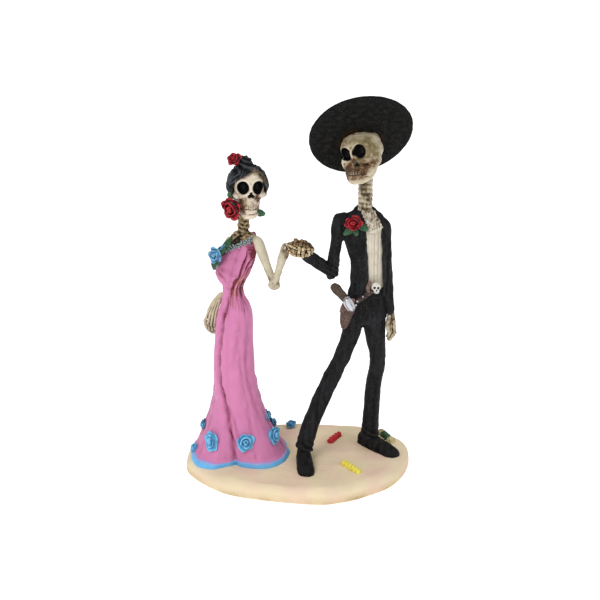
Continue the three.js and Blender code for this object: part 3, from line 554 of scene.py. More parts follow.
def buildStudio():
    selectOnly([])
    bpy.ops.object.camera_add(location=studio["camera"], rotation=(math.radians(studio["tilt"]), 0, 0))
    camera = bpy.context.object
    camera.data.lens = studio["lens"]
    camera.data.sensor_width = 36.0
    camera.data.clip_end = 50.0
    bpy.context.scene.camera = camera
    bpy.ops.mesh.primitive_plane_add(size=studio["floor"], location=(0, 0, -0.00005))
    floor = bpy.context.object
    floor.name = "studioFloor"
    pale = bpy.data.materials.new("paleFloor")
    pale.use_nodes = True
    pale.node_tree.nodes["Principled BSDF"].inputs["Base Color"].default_value = (0.93, 0.93, 0.93, 1)
    pale.node_tree.nodes["Principled BSDF"].inputs["Roughness"].default_value = 0.9
    pale.node_tree.nodes["Principled BSDF"].inputs["Emission Color"].default_value = (1, 1, 1, 1)
    pale.node_tree.nodes["Principled BSDF"].inputs["Emission Strength"].default_value = studio["floorGlow"]
    floor.data.materials.append(pale)
    for name, power, size, place in (
        ("key", studio["key"], 0.9, (-0.75, -1.1, 1.25)),
        ("fill", studio["fill"], 1.2, (1.2, -0.9, 0.9)),
        ("top", studio["top"], 1.4, (0.1, 0.35, 1.7)),
    ):
        aim = (Vector((0, 0, 0.1)) - Vector(place)).to_track_quat("-Z", "Y").to_euler()
        bpy.ops.object.light_add(type="AREA", location=place, rotation=aim)
        light = bpy.context.object
        light.name = name
        light.data.energy = power
        light.data.size = size
    world = bpy.data.worlds.new("studioSky")
    world.use_nodes = True
    world.node_tree.nodes["Background"].inputs["Color"].default_value = (1, 1, 1, 1)
    world.node_tree.nodes["Background"].inputs["Strength"].default_value = studio["sky"]
    bpy.context.scene.world = world
    bpy.context.scene.view_settings.view_transform = "Standard"


buildStudio()
print("studio ready")


# The sand

sandValues = {"length": 120.0, "width": 84.0, "ripple": 0.35, "sides": 168, "lumps": 0.16}
sandOutline = [(-1, 0.16), (-0.96, -0.21), (-0.66, -0.69), (-0.25, -0.9), (0.17, -1), (0.4, -0.93), (0.61, -0.77),
               (0.82, -0.52), (0.96, -0.13), (1, 0.3), (0.92, 0.6), (0.62, 0.91), (0.2, 0.99), (-0.25, 0.99),
               (-0.65, 0.91), (-0.92, 0.6)]


def buildSand():
    half = np.array([sandValues["length"], sandValues["width"]]) / 2
    steps = 40
    edge = curvePoints(np.array(sandOutline) * half, steps, closed=True)
    pick = np.linspace(0, len(edge), sandValues["sides"], endpoint=False).astype(int)
    edge = edge[pick]
    profile = [[0, 1.4, 0], [1, 0.3, 0.06], [2, 0, 0.2], [3, 0.2, 0.55], [4, 1.8, 0.86], [5, 4.6, 1], [6, 8, 1]]
    inset = smoothRows(profile, np.linspace(0, 6, 30))
    inset = [(20, 0), (8, 0), *map(tuple, inset), *[(8 + 34 * k / 34, 1) for k in range(1, 34)]]
    rings = []
    for inward, rise in inset:
        flat = edge * (1 - min(inward, 41.5) / (sandValues["width"] / 2))
        x, y = flat[:, 0], flat[:, 1]
        ripple = sandValues["ripple"] * (np.sin(x / 9 + 1) * np.cos(y / 7) + np.sin((x + y) / 5) / 2)
        points = np.column_stack([flat, np.full(len(flat), sandTop * rise)])
        points[:, 2] += ripple * max(0, rise - 0.8) * 5
        points[:, 2] += sandValues["lumps"] * rise**2 * (ripples(points, 11, 3) + 0.5 * ripples(points, 4, 4))
        rings.append(points)
    sand = loft("sandBase", rings)

    def stain_and_shade(points, normals):
        # painted shadow on the sand near his feet and beside the gown, and painted shade darkening the lower edge
        shade = dabs(points, [(4, -5, 8.5, 7, 0.5), (39, 12, 8.5, 8, 0.45), (-12, 2, 8.5, 12, 0.35)])
        return shade + np.clip(0.9 - points[:, 2] / 6, 0, 0.8)

    def tint(points, normals):
        return np.clip(0.4 * ripples(points * (1, 1, 0.4), 22, 5) + 0.3, 0, 0.8)

    wearAndShadeMaps(sand, ((3, 0.1), (30, 0.4)), stain_and_shade, tint)
    return ready(sand, materials["sandPaint"])


buildSand()
print("sand ready")


# Places that several pieces share

clasp = np.array([0.5, -4.25, 128.8])
herShoulder = her(11.5, -6.3, 122.2)
herElbow = np.array([-12.4, 0.5, 106.3])
herWrist = np.array([-7.7, -3.25, 124.2])


# Her gown

gownStations = [
    (-2.5, 0.5, 0.8, 25.2, 23.9, 0), (1, 0.4, 0.8, 24.8, 23.5, 0), (5, 0.1, 1, 22.8, 21.5, 0),
    (11, 0.1, 1, 20.2, 19.2, 0), (18.5, -0.7, 1, 17.1, 16, 0), (27.5, -0.7, 0.8, 14.6, 13.2, 0),
    (34, -1, 0.6, 13.2, 12, 0), (41.5, -1.4, 0.5, 12.1, 11, 0), (49, -1.8, 0.3, 11.2, 10.3, 0),
    (56.5, -2, 0.2, 10.6, 9.8, 0), (64, -1.8, 0.2, 10.2, 9.7, 0), (71.5, -1.6, 0.2, 10, 9.8, 0),
    (79.5, -1.3, 0.4, 9.3, 9.1, -5), (85.5, -1.1, 0.4, 7.9, 7.4, -10), (90.5, -1.8, 0.3, 6, 5.9, -20),
    (94.5, -2, 0.2, 5.6, 5.5, -30), (99.5, -1.8, 0.2, 7.2, 6, -38), (104, -0.8, 0.5, 9.1, 6.6, -40),
    (112, 1.4, 0.8, 10.2, 6.2, -40), (118.5, 3.2, 0.2, 9.0, 4.9, -40), (122.5, 4.5, 0.2, 7.2, 4.0, -38),
    (125, 5.6, 0.6, 4.8, 3.3, -30), (126.6, 6.2, 0.6, 2.6, 2.2, -30)]
gownSwells = [(4.4, 28, 96, 121, -150), (3.8, 26, 96, 115, -84)]
# each crease: its depth, its breadth, then height, direction and how dark it is painted
gownCreases = [
    (1.7, 1.5, [(-9, -94, 0.2), (2.5, -95, 0.35), (12.5, -99, 0.4), (19.5, -104, 0.45), (26.5, -111, 0.45),
                (34.5, -121, 0.5), (43.5, -136, 0.5), (51, -141, 0.55), (60.5, -142, 0.8), (70, -136, 1),
                (78.5, -132, 1), (84, -128, 1), (88, -118, 0.7), (93, -104, 0.2)]),
    (0.7, 1.6, [(13, -86, 0.1), (21.5, -93, 0.35), (27, -104, 0.4), (33, -110, 0.1)]),
    (1.3, 0.7, [(121, -60, 0.1), (114.5, -65, 0.3), (110.5, -69, 0.5), (106, -73, 0.8), (103, -77, 1), (98, -79, 1),
                (94, -87, 1), (89, -94, 0.5), (84, -99, 0)]),
    (0.6, 0.5, [(106, -84, 0), (102, -86, 0.7), (98, -88, 1), (95, -95, 1), (90, -101, 0.5), (86, -103, 0)]),
    (1.0, 0.65, [(119, -20, 1), (111.5, -53, 0.8), (107, -59, 0.8), (103.5, -64, 0.9), (97.5, -62, 0.8),
                (94, -63, 1), (90.5, -67, 0.9), (84, -72, 0.1)]),
    (0.9, 1.2, [(116, -14, 0.9), (108, -43, 0.6), (103.5, -50, 0.5), (98.5, -42, 0.6), (92, -31, 0.8), (87.5, -34, 0.6),
                (82, -38, 0)]),
    (0.6, 1.0, [(108, -154, 0), (104.5, -142, 0.9), (102, -129, 0.8), (98, -116, 0)]),
    (0.5, 0.45, [(97, -68, 0), (93, -72, 0.9), (89, -82, 1), (84, -87, 0)]),
    (0.6, 0.6, [(98, -48, 0), (92.5, -43, 0.8), (88.5, -44, 1), (84, -48, 0.6), (79, -50, 0)]),
    (0.4, 0.4, [(96, -104, 0), (91, -106, 0.8), (87, -108, 0.6), (83, -110, 0)]),
    (0.4, 0.4, [(96, -55, 0), (91, -56, 0.8), (87, -59, 0.7), (82, -62, 0)]),
    (0.6, 2.2, [(83, -70, 0), (75, -73, 0.25), (66.5, -77, 0.25), (60.5, -83, 0.2), (50, -88, 0)]),
    (0.7, 2.0, [(82, -42, 0), (69, -44, 0.25), (59, -47, 0.3), (45, -49, 0.3), (35, -42, 0.25), (20, -36, 0)]),
    (0.5, 1.4, [(66, -66, 0), (55, -68, 0.2), (45.5, -65, 0.2), (32, -62, 0)]),
    (0.9, 1.8, [(94, 186, 0.1), (85, 176, 0.8), (76, 162, 0.8), (68, 156, 0.4), (58, 152, 0)]),
    (0.6, 1.6, [(0, -66, 0), (12, -64, 0.15), (24, -60, 0.15), (38, -58, 0)]),
    (0.6, 1.6, [(0, -146, 0), (14, -150, 0.2), (28, -152, 0.15), (44, -160, 0)]),
    (0.6, 1.6, [(0, -14, 0), (10, -14, 0.15), (26, -18, 0.15), (44, -22, 0)]),
] + [(1.3, 3.0, [(-9, way, 0.2), (30, way + 4, 0.25), (48 + 6 * (i % 2), way + 6, 0)])
     for i, way in enumerate((-175, 150, 112, 80, 42, 4))]
hemWave = [(-180, 1.02), (-158, 1.08), (-138, 1.14), (-122, 1.12), (-108, 0.93), (-96, 0.82), (-76, 0.95),
           (-60, 1.11), (-42, 1.15), (-20, 1.1), (0, 1.06), (40, 1), (100, 1.04), (140, 0.98), (180, 1.02)]
necklineHeights = [(-180, 111.5), (-160, 113.5), (-142, 116.2), (-128, 118.4), (-102, 120.6), (-84, 121.8), (-66, 122.8),
                   (-50, 124.2), (-10, 125.2), (30, 124.6), (60, 121.5), (105, 116), (140, 112.5), (180, 111.5)]


def gownCrease(height, way, reach):
    depth, dark = np.zeros(height.shape), np.zeros(height.shape)
    for swell, breadth, low, high, centre in gownSwells:
        away = (way - centre + 180) % 360 - 180
        ends = np.clip(np.minimum((high - height) / 12, (height - low) / 8), 0, 1)
        depth -= swell * ends * np.exp(-((away / breadth) ** 2))
    for i, (deep, breadth, run) in enumerate(gownCreases):
        run = sorted(run)
        low, high = run[0][0], run[-1][0]
        centre = np.interp(height, [p[0] for p in run], [p[1] for p in run])
        strength = np.interp(height, [p[0] for p in run], [p[2] for p in run])
        centre = centre + (1.2 * np.sin(height * 0.55 + i) + 0.8 * np.sin(height * 1.3 + 2 * i)) * 4 / reach
        away = np.radians((way - centre + 180) % 360 - 180) * reach
        ends = np.clip(np.minimum((high - height) / 9, (height - low) / 6), 0, 1)
        breadth = breadth * (1 + 0.25 * np.sin(height * 0.7 + 3 * i))
        depth += deep * ends * np.exp(-((away / breadth) ** 2))
        dark = np.maximum(dark, strength * np.exp(-((away / (breadth * 0.8)) ** 2)))
    return depth, dark


def gownPoints(height, turn, swell=0.0):
    height, turn = np.broadcast_arrays(np.asarray(height, float), np.asarray(turn, float))
    x, y, wide, deep, twist = np.moveaxis(smoothRows(gownStations, height), -1, 0)
    px, py = (wide + swell) * np.cos(turn), (deep + swell) * np.sin(turn)
    a = np.radians(twist)
    px, py = px * np.cos(a) - py * np.sin(a), px * np.sin(a) + py * np.cos(a)
    way = np.degrees(np.arctan2(py, px))
    share = np.clip(1 - height / 34, 0, 1) ** 1.4
    depth, dark = gownCrease(height, way, np.hypot(px, py))
    wave = smoothRows(hemWave, way)[..., 0]
    grown = 1 + share * (wave - 1) - depth / np.hypot(px, py)
    return np.stack([px * grown + x, py * grown + y, height], axis=-1) + herStand, dark


def gownAt(height, way, swell=0.0):
    twist = smoothRows(gownStations, height)[4]
    return gownPoints(height, math.radians(way - twist), swell)[0]


def buildGown():
    sides, rows = 300, 250
    turn = np.arange(sides) * 2 * math.pi / sides
    way = (np.degrees(turn) - 40 + 180) % 360 - 180
    top = smoothRows(necklineHeights, way)[:, 0]
    share = np.linspace(0, 1, rows)[:, None]
    height = -2.5 + (top + 2.5) * share
    points, dark = gownPoints(height, turn[None, :])
    lip = points[-1] * 0.9 + points[-1].mean(0) * 0.1 + (0, 0, 0.4)  # the neckline turns in
    inner = points[-1] * 0.8 + points[-1].mean(0) * 0.2 + (0, 0, -1.5)
    gown = loft("gown", np.concatenate([points, lip[None], inner[None]]))
    order = np.concatenate([dark, dark[-1:], dark[-1:]])
    base = np.concatenate([points, lip[None], inner[None]]).reshape(-1, 3)
    found = {tuple(np.round(p, 3)): d for p, d in zip(base, order.ravel())}
    paintedDark = np.array([found.get(tuple(np.round(p, 3)), 0) for p in readPoints(gown)])
    own = readPoints(gown)
    push(gown, 0.09 * ripples(own * (1, 1, 0.25), 4.5, 8) * np.clip(own[:, 2] / 30, 0, 1))
    armRoot = [herShoulder + (her(8.6, -4.6, 121.6) - herShoulder) * s for s in np.linspace(-0.3, 1, 12)]

    def stain_and_shade(points, normals):
        z = points[:, 2]
        # painted shade on the side of the bodice that faces +x, away from the key light
        side = np.clip((normals[:, 0] - 0.15) / 0.6, 0, 1) * np.clip((z - 98) / 8, 0, 1) * np.clip((135 - z) / 5, 0, 1)
        side *= np.clip(1.4 - normals[:, 1] * 2, 0, 1)  # the back is left plainer
        side *= 0.75 + 0.45 * ripples(points * (1, 1, 0.25), 1.5, 81)
        # painted shade on the gown round the root of the arm
        armholeShade = np.clip(besides(points, [np.array(armRoot)], 5.2) * 5.2 - 0.2, 0, 1)
        # the first four dabs are painted shade by the armhole; the others darken the gown beside the chest rose
        edge = dabs(points, [(-24.8, -2, 130, 1.6, 1.2), (-24.6, -2, 126.6, 1.8, 1.3), (-22.8, -1, 123.6, 2, 1.3),
                             (-21.4, 0, 121, 2.2, 1.0), (-38.8, -1.2, 121.4, 2.2, 1.1), (-40.2, -1, 115.6, 2, 0.9),
                             (-37.4, -2, 123.4, 1.5, 0.8), (-38.6, -2.6, 118, 1.6, 0.5)], 1.5)
        torso = 0.14 * np.clip((z - 100) / 8, 0, 1) + np.clip((z - 132.4) / 1.2, 0, 1.4) * (points[:, 0] > -26)
        crease = paintedDark * np.interp(z, [30, 75, 100], [0.6, 0.8, 0.95])
        return np.clip(crease + side + armholeShade * 0.6 + edge + torso, 0, 1.25)

    def tint(points, normals):
        ridge = [gownAt(h, w) for h, w in ((106, -65), (102, -69), (98, -72), (94, -78), (90, -84), (87, -88))]
        return 0.6 * dabs(points, [(*place, 1.0, 0.6) for place in curvePoints(ridge, 5)])

    wearAndShadeMaps(gown, ((3, 0.12), (30, 1.2)), stain_and_shade, tint)
    gathered = np.interp(readPoints(gown)[:, 2], [75, 90], [1, 0.45])  # the wash is thin where it is painted on
    keepValue(gown, "hollow", valueOf(gown, "hollow") * gathered)
    return ready(gown, materials["gownPaint"])


gownFront = readPoints(buildGown())
print("gown ready")


def buildHemBand():  # the blue border round the hem
    sides = 180
    turn = np.arange(sides) * 2 * math.pi / sides
    wander = 0.35 * np.sin(turn * 5 + 1) + 0.25 * np.sin(turn * 11)
    profile = [(-2.4, -0.6), (-2.3, 0.45), (-1.2, 0.7), (0.6, 0.72), (2.1, 0.6), (2.9, 0.3), (3.0, -0.6)]
    rings = [gownPoints(height + (wander if height > 0 else 0), turn, swell)[0] for height, swell in profile]
    band = loft("hemBand", rings, closed=True)
    useModifier(band, "SUBSURF", levels=1, render_levels=1)
    wearAndShadeMaps(band, ((3, 0.1), (12, 0.4)), None, lambda p, n: np.clip((p[:, 2] - sandTop - 1.9) * 0.9, 0, 0.9))
    return ready(band, materials["blueEdge"])


buildHemBand()


# Roses: one is modelled, then copied

roseValues = {"outer": 5, "middle": 5, "inner": 4}


def petal(reach, width, rise, curl, tilt, turn, name="petal"):
    # a grid, bent into a cup whose rim turns out
    selectOnly([])
    bpy.ops.mesh.primitive_grid_add(x_subdivisions=9, y_subdivisions=8, size=2 * mm)
    piece = bpy.context.object
    piece.name = piece.data.name = name
    u, v = readPoints(piece)[:, :2].T
    v = np.clip((v + 1) / 2, 0, 1)
    broad = width * np.sin(np.clip(0.22 + v * 0.62, 0, 1) * math.pi) ** 0.8
    side = u * broad
    out = reach * (0.25 + 0.75 * v) * (1 - 0.16 * u**2 * v)
    up = rise * v**1.3 - curl * np.clip(v - 0.72, 0, 1) ** 2 * 9 + 0.18 * (u**2) * (1 - v) * rise
    bend = side / max(reach, 0.1) * 0.9
    x = out * np.cos(bend) * math.cos(tilt) - up * math.sin(tilt)
    y = out * np.sin(bend) + side * 0.25
    z = out * math.sin(tilt) + up * math.cos(tilt)
    c, s = math.cos(turn), math.sin(turn)
    writePoints(piece, np.column_stack([x * c - y * s, x * s + y * c, z]))
    # painted shade that deepens towards the petal's base
    keepValue(piece, "gap_shade", (1 - v) ** 1.3)
    keepValue(piece, "tip", v**6)
    return piece


def modelRose(name, flat):
    # radius 1 when it is placed; z points out of the flower
    petals = []
    rng = np.random.default_rng(7 if flat else 4)
    layers = [(roseValues["outer"], 1.02, 0.6, 0.26 if flat else 0.46, 0.07, 0.1),
              (roseValues["middle"], 0.76, 0.48, 0.42 if flat else 0.66, 0.04, 0.3),
              (roseValues["inner"], 0.52, 0.36, 0.52 if flat else 0.8, 0.02, 0.55)]
    for k, (count, reach, width, rise, curl, tilt) in enumerate(layers):
        for i in range(count):
            a = (i + 0.5 * k + rng.uniform(-0.12, 0.12)) * 2 * math.pi / count
            grown = rng.uniform(0.9, 1.1)
            petals.append(petal(reach * grown, width * rng.uniform(0.92, 1.12), rise * rng.uniform(0.85, 1.15), curl,
                                tilt + rng.uniform(-0.08, 0.1), a))
    bloom = join(name, petals)
    bpy.ops.object.mode_set(mode="EDIT")
    bpy.ops.mesh.select_all(action="SELECT")
    bpy.ops.mesh.normals_make_consistent(inside=False)
    bpy.ops.object.mode_set(mode="OBJECT")
    useModifier(bloom, "SOLIDIFY", thickness=0.1 * mm, offset=0.0)
    turns = np.linspace(0, 1, 40)
    heart = np.column_stack([0.22 * (1 - turns * 0.8) * np.cos(turns * 14), 0.22 * (1 - turns * 0.8) * np.sin(turns * 14),
                             (0.5 if flat else 0.85) + 0.1 * turns])
    coil = loft("heart", tubeRings(heart, [(0.05, 0.12)] * 40, sides=6, steps=1, ref=(0, 0, 1)))
    keepValue(coil, "tip", np.full(len(coil.data.vertices), 0.4))
    bed = ball((0, 0, 0.0), (0.78, 0.78, 0.36 if flat else 0.5), segments=20)
    low = readPoints(bed)
    low[:, 2] = np.maximum(low[:, 2], -0.35)
    writePoints(bed, low)
    # the bed under the petals is in full painted shade
    keepValue(bed, "gap_shade", np.ones(len(low)))
    return join(name, [bloom, coil, bed])


fullRose, flatRose = modelRose("fullRose", False), modelRose("flatRose", True)


def placeRose(model, place, direction, radius, spin=0.0, stretch=1.0):
    bloom = model.copy()
    bloom.data = model.data.copy()
    bpy.context.collection.objects.link(bloom)
    shape = Matrix.Diagonal((radius, radius * stretch, radius * 0.95, 1)) @ Matrix.Rotation(math.radians(spin), 4, "Z")
    carry(bloom, facing(direction, place) @ shape)
    own = readPoints(bloom)
    push(bloom, 0.045 * radius * ripples(own, radius * 0.7, int(abs(own[0, 0]) * 7)))
    return bloom


def wearAndShadeRoses(roses, gaps=1.05):
    wearAndShadeMaps(roses, ((2, 0.1), (8, 0.4)))
    # the painted shade toward the petal bases goes into the stain map, scaled by gaps
    keepValue(roses, "stain_and_shade", np.clip(valueOf(roses, "gap_shade") * gaps, 0, 1.5))
    keepValue(roses, "ridge", np.clip(valueOf(roses, "tip") * 1.3 + 0.4 * valueOf(roses, "ridge"), 0, 1))


def makeLeaf(stalk, tip, up, width, name="leaf", curl=0.25):
    selectOnly([])
    bpy.ops.mesh.primitive_grid_add(x_subdivisions=10, y_subdivisions=14, size=2 * mm)
    piece = bpy.context.object
    piece.name = piece.data.name = name
    u, v = readPoints(piece)[:, :2].T
    v = np.clip((v + 1) / 2, 0, 1)
    stalk, tip = np.array(stalk, float), np.array(tip, float)
    along = tip - stalk
    length = np.linalg.norm(along)
    across = np.cross(up, along)
    across /= np.linalg.norm(across)
    normal = np.cross(along / length, across)
    saw = 1 + 0.14 * np.sin(v * 6 * 2 * math.pi)
    broad = width / 2 * np.sin(np.clip(0.05 + v * 0.95, 0, 1) ** 0.8 * math.pi) ** 0.75 * saw + 0.05
    lift = -0.35 * np.abs(u) ** 1.2 * width * 0.35 + 0.16 * np.cos((v - 0.12 * np.abs(u)) * 5 * 2 * math.pi) * np.abs(u)
    lift += curl * length * (v * (1 - v)) * 1.2
    points = stalk + np.outer(v, along) + np.outer(u * broad, across) + np.outer(lift, normal)
    writePoints(piece, points)
    useModifier(piece, "SOLIDIFY", thickness=0.7 * mm, offset=-1.0)
    return piece


# height, direction, size, how much taller than wide
hemRoses = [(12.4, -130, 0.92, 1.45), (12.8, -78, 1.08, 1.0), (12.6, -27, 0.98, 1.25), (3.6, -164, 0.72, 1.2),
            (14.6, 177, 0.66, 1.7), (20, 3, 0.7, 1.9), (14, 12, 0.8, 1.2), (12.5, 55, 0.9, 1.1), (12.5, 120, 0.9, 1.1)]


def buildBlueRoses():
    blooms = []
    for i, (height, way, size, tall) in enumerate(hemRoses):
        out = (math.cos(math.radians(way)), math.sin(math.radians(way)), 0.35)
        blooms.append(placeRose(flatRose, gownAt(height, way, 0.0), out, 4.7 * size, spin=37 * i, stretch=tall))
    blooms.append(placeRose(flatRose, (-4, 35, sandTop + 1.2), (-0.2, -0.5, 1), 2.9, spin=20))
    blooms.append(placeRose(fullRose, her(-10.2, -5.6, 114.8), (-0.45, -0.85, 0.25), 3.8, spin=10, stretch=1.15))
    blooms.append(placeRose(flatRose, her(-6.6, -5.4, 118.6), (-0.3, -0.8, 0.5), 1.7, spin=50))
    roses = join("blueRoses", blooms)
    wearAndShadeRoses(roses, 0.45)
    shaded = np.clip((readPoints(roses)[:, 1] - 4) / 3, 0, 1)  # those turned away are darker
    own = readPoints(roses)
    worn = (own[:, 2] > 100) * np.clip(0.4 + 0.5 * ripples(own, 1.6, 15), 0, 1.2)  # those on her chest are darker
    keepValue(roses, "stain_and_shade", valueOf(roses, "stain_and_shade") + 0.6 * shaded + worn)
    keepValue(roses, "ridge", valueOf(roses, "ridge") * (1 - 0.6 * shaded))
    return ready(roses, materials["bluePetal"])


buildBlueRoses()
print("blue roses ready")


# Heads

herHead = headFrame(25.8, her(6.4, 0.4, 134.9), 8, 0)
hisHead = headFrame(25.8, his(6.8, -1.7, 155.4), -34, -7)
herSkullValues = {
    "cover": lambda: hairSkin, "coverReach": 1.5,
    "stations": [(0, 2.9, -8.3, -4.2), (1.4, 3.9, -9.1, -2.6), (5, 4.1, -9.4, -0.8), (7.8, 4.7, -9.7, 1.4),
                 (9.6, 5.9, -9.5, 4.6), (11.4, 7.3, -9.2, 7.6), (13.4, 8.0, -9.1, 9), (16, 8.4, -9.1, 10),
                 (20, 8.6, -9.1, 10.2), (22.6, 7.2, -7.7, 9), (24.4, 4.8, -5.8, 7), (25.9, 1.4, -2.6, 3)],
    "balls": [(0, 0.6, 17.0, 8.8, 9.6, 8.6), (0.2, -7.4, 6.0, 4.0, 3.0, 3.8), (0.2, -7.2, 1.8, 3.3, 2.4, 1.9),
              (-3.3, -5.0, 6.8, 2.6, 3.0, 4.8)],
    "bars": [([(-4.8, -8.3, 12.6), (-7.0, -6.6, 12.3), (-7.9, -2.6, 13.0)], [1.1, 1.3, 0.9]),
             ([(5.0, -8.3, 12.6), (7.0, -6.4, 12.3), (8.0, -2.6, 13.0)], [1.1, 1.3, 0.9]),
             ([(3.6, -7.0, 2.4), (4.3, -3.2, 4.4), (5.4, 0.6, 9.0)], [1.2, 1.2, 1.2]),
             ([(-3.4, -7.0, 2.4), (-4.3, -3.2, 4.4), (-5.4, 0.6, 9.0)], [1.2, 1.2, 1.2]),
             ([(0.3, -9.0, 18.4), (0.35, -9.8, 15.6)], [1.0, 0.8])],
    "eyes": [(-3.5, 17.3, 3.05, 3.55), (4.3, 17.0, 2.95, 3.55)],
    "nose": (0.5, 13.5, 1.35), "noseRim": 0.2, "teeth": (0.8, 5.9, 7.9, 3.0, 0.9), "jawLine": 3.0, "lowerTeeth": 0.35,
    "stains": [(2.6, -5, 25.4, 1.1, 0.9)],
    "washes": [(-5.2, 8.8, 1.8, 2.0), (-3.9, 9.8, 1.8, 1.1), (-4.9, 5.8, 1.8, 2.0), (-4.0, 6.6, 1.7, 1.0), (-4.2, 3.2, 1.6, 1.2),
               (-5.4, 12.4, 1.5, 0.6), (3.5, 12.1, 1.3, 2.4), (4.6, 10.2, 1.3, 2.0), (4.2, 5.6, 1.0, 0.9),
               (0.6, 9.4, 2.0, 0.3), (-1.6, 11.6, 1.2, 0.4), (5.6, 22.4, 1.3, 0.5)],
    "tints": [(3.4, -6, 24.6, 1.5, 0.8), (6.2, -6, 22.4, 1.4, 0.8), (0.5, -9.4, 7.4, 2.0, 0.35), (-3, -9, 8.5, 2.5, 0.3)],
}
hisSkullValues = {
    "cover": lambda: hatSkin, "coverReach": 2.8,
    "stations": [(-0.6, 2.6, -8.2, -4.6), (1.0, 4.2, -9.4, -2.6), (5, 5.2, -10.2, -0.4), (8, 5.6, -10.2, 2.4),
                 (9.8, 6.6, -9.6, 6.6), (11.6, 7.8, -9.2, 9.6), (15, 8.4, -8.9, 12), (19, 8.8, -9.0, 12.7),
                 (22.2, 7.9, -7.6, 11.5), (24.2, 5.4, -4.4, 8.4), (25.2, 1.8, -0.6, 3)],
    "balls": [(0.6, 2.2, 15.0, 9.9, 11.4, 7.7), (-1.6, -1.6, 17.0, 7.0, 8.4, 7.6),
              (6.6, -3.6, 6.8, 3.0, 3.6, 3.6), (0.2, -6.6, 5.6, 5.0, 4.2, 5.8), (0.6, -6.6, 2.2, 4.0, 2.9, 2.9),
              (5.4, 0.6, 11.4, 5.9, 6.0, 5.6), (3.4, -4.6, 17.4, 6.0, 4.6, 5.4)],
    "bars": [([(8.6, 1.0, 11.6), (7.4, 0.0, 6.4), (5.4, -1.6, 2.4), (2.6, -5.4, 0.9)], [2.2, 2.0, 1.8, 1.7]),
             ([(4.2, -8.2, 12.4), (7.6, -6.4, 12.2), (9.6, -1.6, 12.0)], [1.3, 1.4, 1.0]),
             ([(-4.6, -8.0, 12.0), (-6.2, -6.8, 10.2), (-5.4, -6.6, 7.4)], [1.1, 1.0, 0.9]),
             ([(1.4, -9.4, 17.6), (1.7, -10.0, 14.4)], [1.0, 0.8])],
    "eyes": [(-2.9, 15.4, 3.9, 3.5), (5.1, 17.3, 3.25, 3.65)],
    "nose": (3.4, 10.6, 0.95), "noseRim": 0.0, "teeth": (2.5, 5.0, 7.2, 3.4, 1.25), "jawLine": 2.6, "lowerTeeth": 0.3,
    "stains": [(2.5, -9.8, 8.2, 4.2, 1.2), (-0.4, -9.5, 6.6, 3.4, 1.1), (4.4, -8.6, 9.4, 3.2, 1.3), (6.8, -6, 10.2, 2.8, 1.5),
               (9.2, -3, 10.6, 2.2, 1.4), (10.4, 0, 10.4, 1.6, 1.0), (5.2, -8.4, 12.4, 1.6, 1.0), (5.2, -8, 5.8, 2.6, 1.2),
               (1.6, -9.9, 12.6, 2.0, 1.5), (-4.0, -8.2, 5.0, 2.4, 1.6), (7.6, -2.6, 21.6, 2.4, 0.4),
               (-3.8, -7, 20.6, 2.0, 0.4), (9.8, -1.6, 17.6, 2.4, 0.5)],
    "washes": [(5.0, 7.6, 2.4, 0.9), (3.4, 10.4, 2.2, 1.2), (-0.6, 8.0, 2.0, 0.8), (-3.6, 6.6, 1.6, 1.4), (-4.4, 3.6, 1.6, 1.2),
               (-4.6, 19.6, 2.0, 0.7), (-1.6, 22.6, 2.4, 0.4), (4.6, 22.8, 1.8, 0.3), (1.4, 18.6, 1.2, 0.35)],
    "tints": [(8.2, -4.8, 19.4, 4.4, 1.5), (10.0, -1.5, 16, 3.6, 1.3), (-2.6, -7.6, 21, 3.0, 0.8), (7.4, -4, 22.6, 3.0, 1.0),
              (2.6, -8, 22.4, 3.0, 0.6), (4.6, -8.4, 11.6, 2.4, 0.5)],
}


# Her hair

hairValues = {"strands": 0.24}


